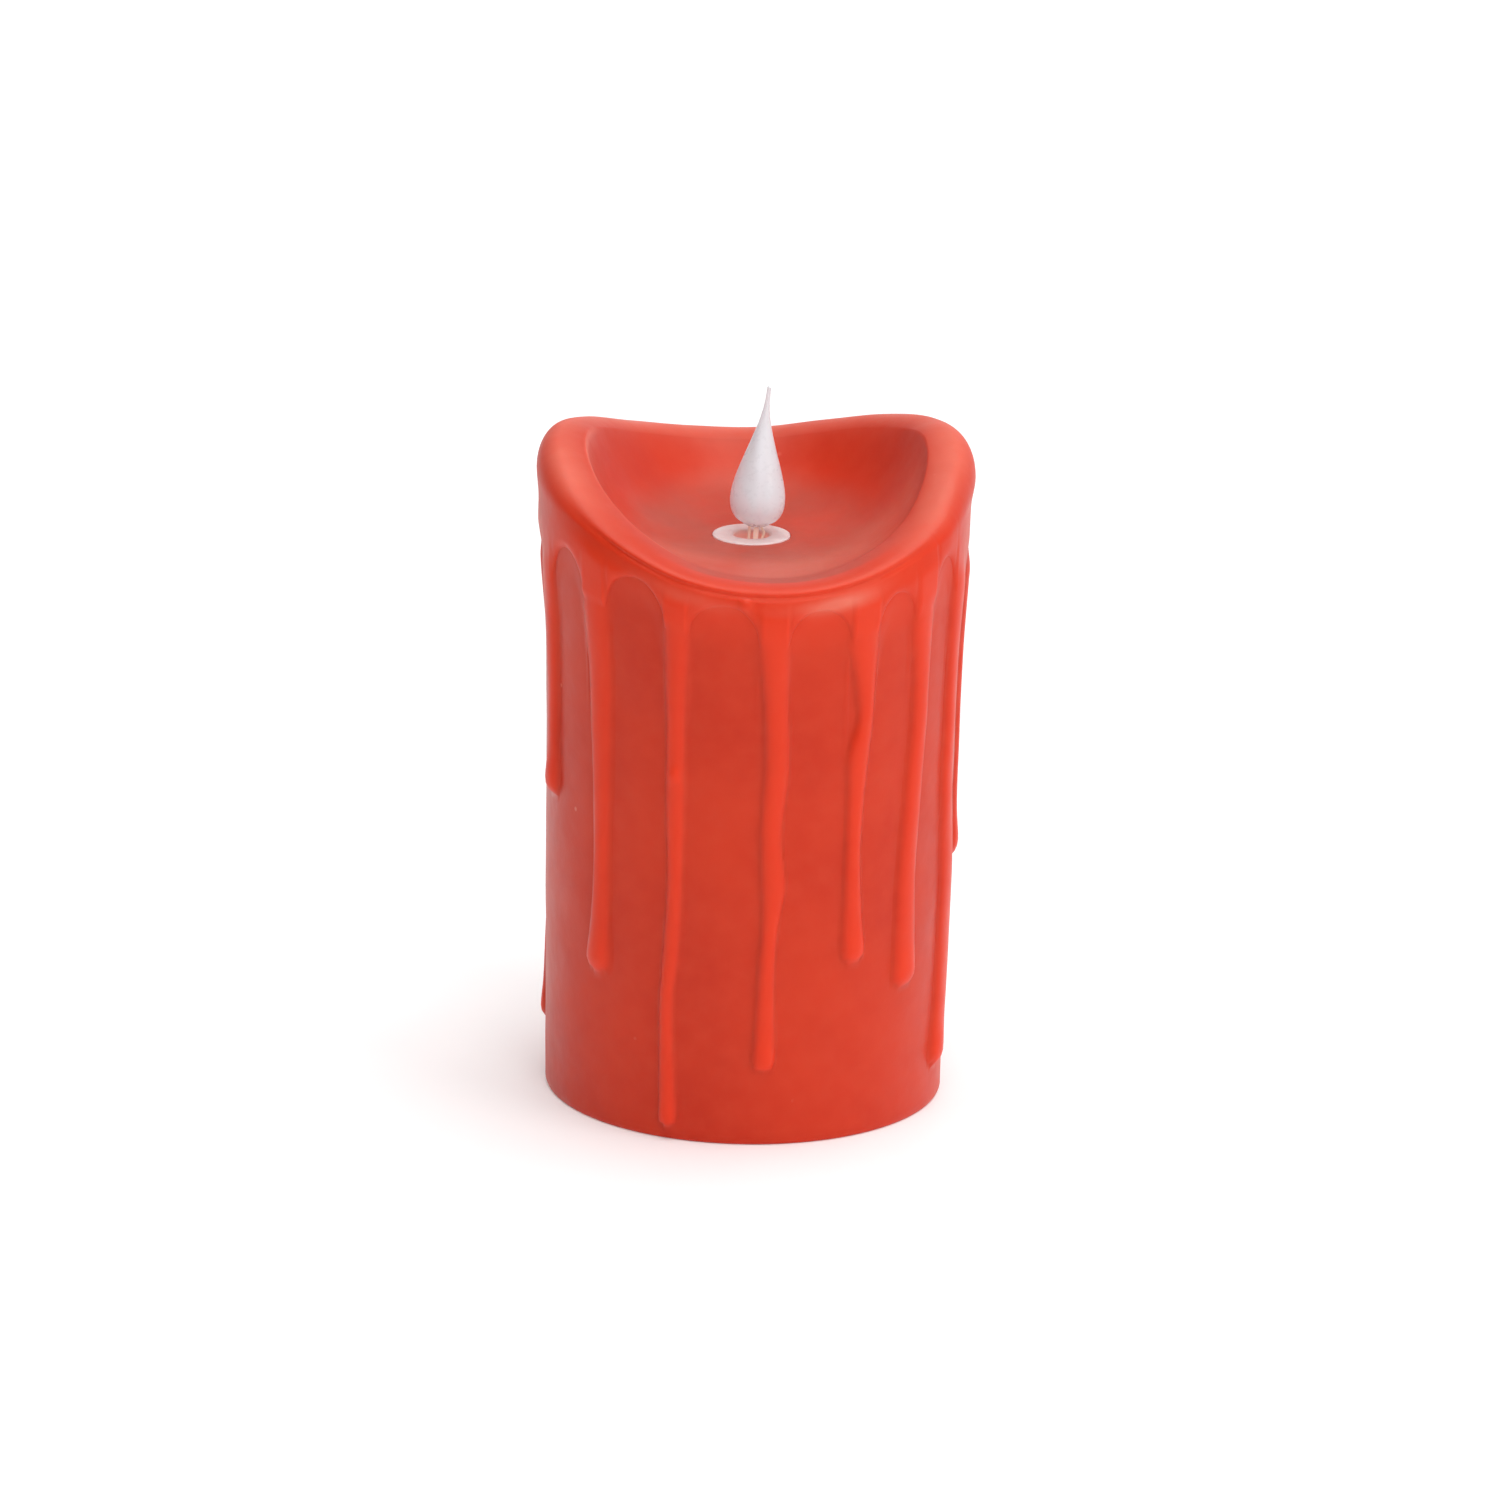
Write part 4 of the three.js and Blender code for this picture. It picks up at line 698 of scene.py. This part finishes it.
def mixed(tree, factor, first, second):
    """A colour from the first to the second; the node's colour sockets go by number, not by name."""
    made = add(tree, "ShaderNodeMix", {0: factor}, data_type="RGBA")
    for place, color in ((6, first), (7, second)):
        if isinstance(color, bpy.types.NodeSocket):
            tree.links.new(color, made.inputs[place])
        else:
            made.inputs[place].default_value = (*color, 1)
    return made.outputs[2]


def split(tree, vector):
    """The X, Y and Z of a vector."""
    return add(tree, "ShaderNodeSeparateXYZ", {"Vector": vector}).outputs


def attribute(tree, name):
    """A value that the mesh holds for each of its points."""
    return add(tree, "ShaderNodeAttribute", attribute_name=name).outputs["Fac"]


def color_by(tree, shader, value):
    tree.links.new(value, shader.inputs["Base Color"])


def roughness_by(tree, shader, value):
    tree.links.new(value, shader.inputs["Roughness"])


def math_node(tree, operation, first, second=0.0):
    return add(tree, "ShaderNodeMath", {0: first, 1: second}, operation=operation).outputs[0]


def bump(tree, shader, height, depth, after=None):
    """Relief of a depth in metres, on top of earlier relief."""
    inputs = {"Height": height, "Distance": depth, "Strength": 1.0}
    made = add(tree, "ShaderNodeBump", inputs)
    if after is not None:
        tree.links.new(after, made.inputs["Normal"])
    tree.links.new(made.outputs["Normal"], shader.inputs["Normal"])
    return made.outputs["Normal"]


def scaled(color, factor):
    """A colour made lighter or darker."""
    return tuple(min(1.0, channel * factor) for channel in color)


# ---------------------------------------------------------------- materials


def wax_material():
    """Dyed paraffin: faintly mottled and translucent, brighter where it has run, with painted shade and
    sheen deep in the bowl, painted highlights on the lip, the band and the bowl's edges, and a few bright
    specks."""
    made, tree, shader, coords = new_material(
        "wax", 0.42, Subsurface_Weight=0.35, Subsurface_Scale=0.0025, IOR=1.45, Specular_IOR_Level=0.4,
    )
    shader.inputs["Subsurface Radius"].default_value = (1.0, 0.2, 0.1)
    shader.inputs["Specular Tint"].default_value = (1.0, 0.88, 0.72, 1)
    broad = spread(tree, noise(tree, coords, 32), 0.35, 0.65)
    color = mixed(tree, broad, (0.55, 0.020, 0.0025), (0.61, 0.029, 0.005))
    cloud = spread(tree, noise(tree, coords, 260, 5), 0.4, 0.75, 0.0, 0.35)
    color = mixed(tree, cloud, color, (0.63, 0.042, 0.013))
    run = spread(tree, attribute(tree, "run_over"), 0.2, 1.0, 0.0, 0.75)
    color = mixed(tree, run, color, (0.79, 0.036, 0.006))
    patches = spread(tree, noise(tree, coords, 45, 5), 0.35, 0.65, 0.45, 1.0)
    # Painted shade and sheen: darker, greyer wax deep in the bowl.
    bowl = math_node(tree, "MULTIPLY", attribute(tree, "bowl"), patches)
    color = mixed(tree, bowl, color, (0.40, 0.064, 0.040))
    # Painted highlights and sheen: pale pink over the lip, the band under it and the bowl's edges.
    painted_highlight = math_node(tree, "MULTIPLY", attribute(tree, "painted_highlight"), patches)
    color = mixed(tree, painted_highlight, color, (0.76, 0.17, 0.115))
    cells = add(tree, "ShaderNodeTexVoronoi", {"Vector": coords, "Scale": 130.0, "Randomness": 1.0})
    speck = spread(tree, cells.outputs["Distance"], 0.03, 0.07, 1.0, 0.0)
    rare = spread(tree, noise(tree, coords, 45, 1), 0.60, 0.64)
    specks = math_node(tree, "MULTIPLY", speck, rare)
    faint = math_node(tree, "MULTIPLY", specks, 0.35)
    color_by(tree, shader, mixed(tree, faint, color, (0.85, 0.35, 0.27)))
    roughness_by(tree, shader, spread(tree, noise(tree, coords, 70, 4), 0.3, 0.7, 0.34, 0.46))
    swell = bump(tree, shader, noise(tree, coords, 120, 2), 0.0002)
    skin = bump(tree, shader, noise(tree, coords, 1500, 4), 0.00002, swell)
    bump(tree, shader, specks, 0.00006, skin)
    return made


def plastic_material(name, color, roughness, grain=2200.0, depth=0.00002, **numbers):
    """Moulded plastic: a fine grain, slight flow marks and rubbed patches."""
    made, tree, shader, coords = new_material(name, roughness, **numbers)
    flow = spread(tree, noise(tree, stretched(tree, coords, (1, 1, 0.35)), 60, 3), 0.3, 0.7)
    tone = mixed(tree, flow, scaled(color, 0.94), scaled(color, 1.05))
    dust = spread(tree, noise(tree, coords, 700, 5), 0.62, 0.8, 0.0, 0.2)
    color_by(tree, shader, mixed(tree, dust, tone, scaled(color, 1.25)))
    worn = spread(tree, noise(tree, coords, 110, 4), 0.3, 0.7, roughness - 0.07, roughness + 0.08)
    roughness_by(tree, shader, worn)
    bump(tree, shader, noise(tree, coords, grain, 2), depth)
    return made


def metal_material(name, color, roughness, streaks=(1, 1, 1), metallic=1.0, **numbers):
    """Plated or drawn metal with fine scratches and duller patches."""
    made, tree, shader, coords = new_material(name, roughness, Metallic=metallic, **numbers)
    patches = spread(tree, noise(tree, coords, 300, 4), 0.35, 0.7)
    color_by(tree, shader, mixed(tree, patches, color, scaled(color, 0.8)))
    scratch = noise(tree, stretched(tree, coords, streaks), 3500, 3)
    roughness_by(tree, shader, spread(tree, scratch, 0.3, 0.7, roughness - 0.1, roughness + 0.14))
    bump(tree, shader, scratch, 0.000006)
    return made


def flame_material():
    """Milky, frosted silicone, clouded inside, with a paler streak up its middle that is a painted
    highlight;
    its faint glow and its brighter, bluer lower part are painted light.
    """
    made, tree, shader, coords = new_material(
        "flame", 0.3, Subsurface_Weight=0.6, Subsurface_Scale=0.002, IOR=1.45, Coat_Weight=0.3,
        Coat_Roughness=0.15, Emission_Strength=0.1,
    )
    # A faint painted glow, though the flame is unlit: it stands in for light passing through the milky
    # silicone.
    shader.inputs["Emission Color"].default_value = (0.8, 0.85, 1.0, 1)
    shader.inputs["Subsurface Radius"].default_value = (1.0, 0.95, 1.0)
    place = split(tree, coords)
    # Painted light: the lower part brighter and bluer, against the shade and red bounce light that fall
    # there.
    up = spread(tree, place["Z"], 0.1125, 0.121)
    color = mixed(tree, up, (0.80, 0.96, 1.0), (0.66, 0.655, 0.665))
    # Painted highlight: a paler streak a little right of the middle.
    wander = spread(tree, noise(tree, coords, 120, 2), 0.0, 1.0, -0.0006, 0.0006)
    from_middle = math_node(tree, "SUBTRACT", math_node(tree, "ADD", place["X"], wander), 0.0008)
    streak = spread(tree, math_node(tree, "ABSOLUTE", from_middle), 0.0, 0.0013, 0.6, 0.0)
    color = mixed(tree, streak, color, (0.80, 0.81, 0.84))
    cloud = spread(tree, noise(tree, coords, 260, 3), 0.4, 0.7, 0.0, 0.25)
    color_by(tree, shader, mixed(tree, cloud, color, (0.74, 0.75, 0.78)))
    roughness_by(tree, shader, spread(tree, noise(tree, coords, 900, 3), 0.3, 0.7, 0.24, 0.36))
    bump(tree, shader, noise(tree, coords, 700, 3), 0.00002)
    return made


def collar_material():
    """Pinkish white plastic, painted lighter and redder down its bore, with a faint painted glow there."""
    made, tree, shader, coords = new_material(
        "collar", 0.4, Subsurface_Weight=0.8, Subsurface_Scale=0.003,
    )
    # Colour of the painted glow down the bore.
    shader.inputs["Emission Color"].default_value = (1.0, 0.42, 0.36, 1)
    shader.inputs["Subsurface Radius"].default_value = (1.0, 0.7, 0.65)
    tint = spread(tree, noise(tree, coords, 400, 4), 0.35, 0.7)
    top = mixed(tree, tint, (0.62, 0.50, 0.50), (0.69, 0.60, 0.59))
    # Painted light down the bore: lighter, redder and faintly glowing where it would lie in shade, for
    # light through the milky pieces and off the wax.
    depth = spread(tree, split(tree, coords)["Z"], 0.1086, 0.1076)
    color_by(tree, shader, mixed(tree, depth, top, (0.90, 0.52, 0.46)))
    tree.links.new(spread(tree, depth, 0.0, 1.0, 0.08, 0.13), shader.inputs["Emission Strength"])
    roughness_by(tree, shader, spread(tree, noise(tree, coords, 200, 3), 0.3, 0.7, 0.34, 0.46))
    bump(tree, shader, noise(tree, coords, 1200, 3), 0.00002)
    return made


def board_material():
    """Green solder mask over copper tracks."""
    made, tree, shader, coords = new_material("circuit_board", 0.35)
    black, white = (0, 0, 0, 1), (1, 1, 1, 1)
    tracks = add(tree, "ShaderNodeTexBrick", {
        "Vector": coords, "Scale": 700.0, "Mortar Size": 0.045, "Color1": black, "Color2": black,
        "Mortar": white,
    }).outputs["Color"]
    weave = noise(tree, coords, 1800, 3)
    mask = mixed(tree, spread(tree, weave, 0.3, 0.7), (0.018, 0.11, 0.045), (0.028, 0.15, 0.06))
    color_by(tree, shader, mixed(tree, tracks, mask, (0.06, 0.26, 0.09)))
    roughness_by(tree, shader, spread(tree, weave, 0.3, 0.7, 0.3, 0.42))
    bump(tree, shader, tracks, 0.00003)
    return made


def jacket_material():
    """A cell's printed sleeve: dark, with a copper-coloured band at the positive end and bare steel
    ends. The cell at +Y has its positive end at +X, and the other one at -X."""
    made, tree, shader, coords = new_material("battery_jacket", 0.3)
    place = split(tree, coords)
    towards_plus = math_node(tree, "MULTIPLY", place["X"], math_node(tree, "SIGN", place["Y"]))
    band = spread(tree, towards_plus, 0.0105, 0.0107)
    color = mixed(tree, band, (0.022, 0.024, 0.030), (0.55, 0.25, 0.09))
    scuffs = spread(tree, noise(tree, stretched(tree, coords, (0.3, 1, 1)), 900, 4), 0.58, 0.75, 0.0, 0.35)
    color = mixed(tree, scuffs, color, (0.35, 0.34, 0.33))
    steel = spread(tree, towards_plus, 0.0256, 0.0258)
    negative = spread(tree, towards_plus, -0.0228, -0.0230)
    bare = math_node(tree, "MAXIMUM", steel, negative)
    color_by(tree, shader, mixed(tree, bare, color, (0.62, 0.62, 0.60)))
    metallic = math_node(tree, "MAXIMUM", bare, math_node(tree, "MULTIPLY", band, 0.6))
    tree.links.new(metallic, shader.inputs["Metallic"])
    roughness_by(tree, shader, spread(tree, noise(tree, coords, 500, 3), 0.3, 0.7, 0.22, 0.38))
    bump(tree, shader, noise(tree, coords, 800, 3), 0.00001)
    return made


def winding_material():
    """Enamelled copper wire wound in close turns, seen as fine ribs."""
    made, tree, shader, coords = new_material("copper_wire", 0.3, Metallic=1.0)
    inputs = {"Vector": coords, "Scale": 900.0, "Distortion": 0.6}
    ribs = add(tree, "ShaderNodeTexWave", inputs, bands_direction="Z").outputs["Fac"]
    color_by(tree, shader, mixed(tree, ribs, (0.30, 0.10, 0.03), (0.78, 0.36, 0.14)))
    roughness_by(tree, shader, spread(tree, noise(tree, coords, 900, 2), 0.3, 0.7, 0.24, 0.4))
    bump(tree, shader, ribs, 0.00008)
    return made


def floor_material():
    """Pale paint, lit up a little behind the candle so that the backdrop stays even."""
    made, tree, shader, coords = new_material("floor_paint", 0.6)
    shader.inputs["Emission Color"].default_value = (1, 1, 1, 1)
    away = split(tree, coords)["Y"]
    tree.links.new(spread(tree, away, 0.2, 1.2, 0.12, 0.5), shader.inputs["Emission Strength"])
    grain = spread(tree, noise(tree, coords, 40, 4), 0.3, 0.7)
    color_by(tree, shader, mixed(tree, grain, (0.94, 0.94, 0.94), (0.96, 0.96, 0.96)))
    return made


def add_materials():
    """Every CAD node takes the material of its slot in the record. The collar's own is for its visual
    piece only."""
    made = {
        "wax": wax_material(),
        "white_plastic": plastic_material(
            "white_plastic", (0.80, 0.76, 0.73), 0.42, Subsurface_Weight=0.5, Subsurface_Scale=0.002,
        ),
        # Painted light: the pink tint stands for red light bounced from the wax, and the glow for light
        # through the milky pieces round the stem.
        "stem_plastic": plastic_material(
            "stem_plastic", (0.95, 0.68, 0.58), 0.42, Subsurface_Weight=0.5, Subsurface_Scale=0.002,
            Emission_Strength=0.17, Emission_Color=(0.8, 0.68, 0.61, 1),
        ),
        "base_plastic": plastic_material("base_plastic", (0.50, 0.035, 0.016), 0.5, 1400.0, 0.00004),
        "flame": flame_material(),
        "led_epoxy": plastic_material("led_epoxy", (0.85, 0.80, 0.55), 0.15, Transmission_Weight=0.5),
        # Pinkish tan: the legs' own tan metal tinted with painted red bounce light from the wax; the glow
        # is painted light through the milky pieces.
        "led_leg_metal": metal_material(
            "led_leg_metal", (0.86, 0.62, 0.47), 0.5, (1, 1, 0.1), metallic=0.2,
            Emission_Strength=0.2, Emission_Color=(0.9, 0.72, 0.62, 1),
        ),
        "steel": metal_material("steel", (0.62, 0.63, 0.65), 0.3),
        "contact_metal": metal_material("contact_metal", (0.66, 0.65, 0.62), 0.28, (1, 1, 0.1)),
        "battery_jacket": jacket_material(),
        "black_plastic": plastic_material("black_plastic", (0.02, 0.02, 0.022), 0.4, 1600.0, 0.00003),
        "circuit_board": board_material(),
        "copper_wire": winding_material(),
        "red_lead": plastic_material("red_lead", (0.42, 0.02, 0.015), 0.45),
        "black_lead": plastic_material("black_lead", (0.018, 0.018, 0.019), 0.45),
        "collar": collar_material(),
    }
    for part in frame["record"]["subparts"]:
        node = frame["nodes"][part["node"]]
        node.data.shade_smooth()
        node.data.set_sharp_from_angle(angle=math.radians(30))
        for slot in node.material_slots:
            slot.material = made[part["material_slot"]]
    return made


def show(piece, material, body, slot, *stands_for):
    """Gives a piece its material, the CAD body it moves with and the nodes that it stands for."""
    piece.data.materials.append(material)
    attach(piece, body)
    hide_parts(*stands_for)


# ---------------------------------------------------------------- assembly

add_camera()
add_studio()
floor = make_floor()
floor.data.materials.append(floor_material())
surfaces = add_materials()
show(make_wax(), surfaces["wax"], "candle_body", "wax", "wax_shell")
show(make_collar(), surfaces["collar"], "candle_body", "white_plastic", "flame_collar")
show(make_flame(), surfaces["flame"], "flame", "flame", "flame_shell")
leg_metal = surfaces["led_leg_metal"]
show(make_leg("anode_leg", STRAIGHT_LEG), leg_metal, "flame", "led_leg_metal", "led_leg_anode")
show(make_leg("cathode_leg", KINKED_LEG), leg_metal, "flame", "led_leg_metal", "led_leg_cathode")
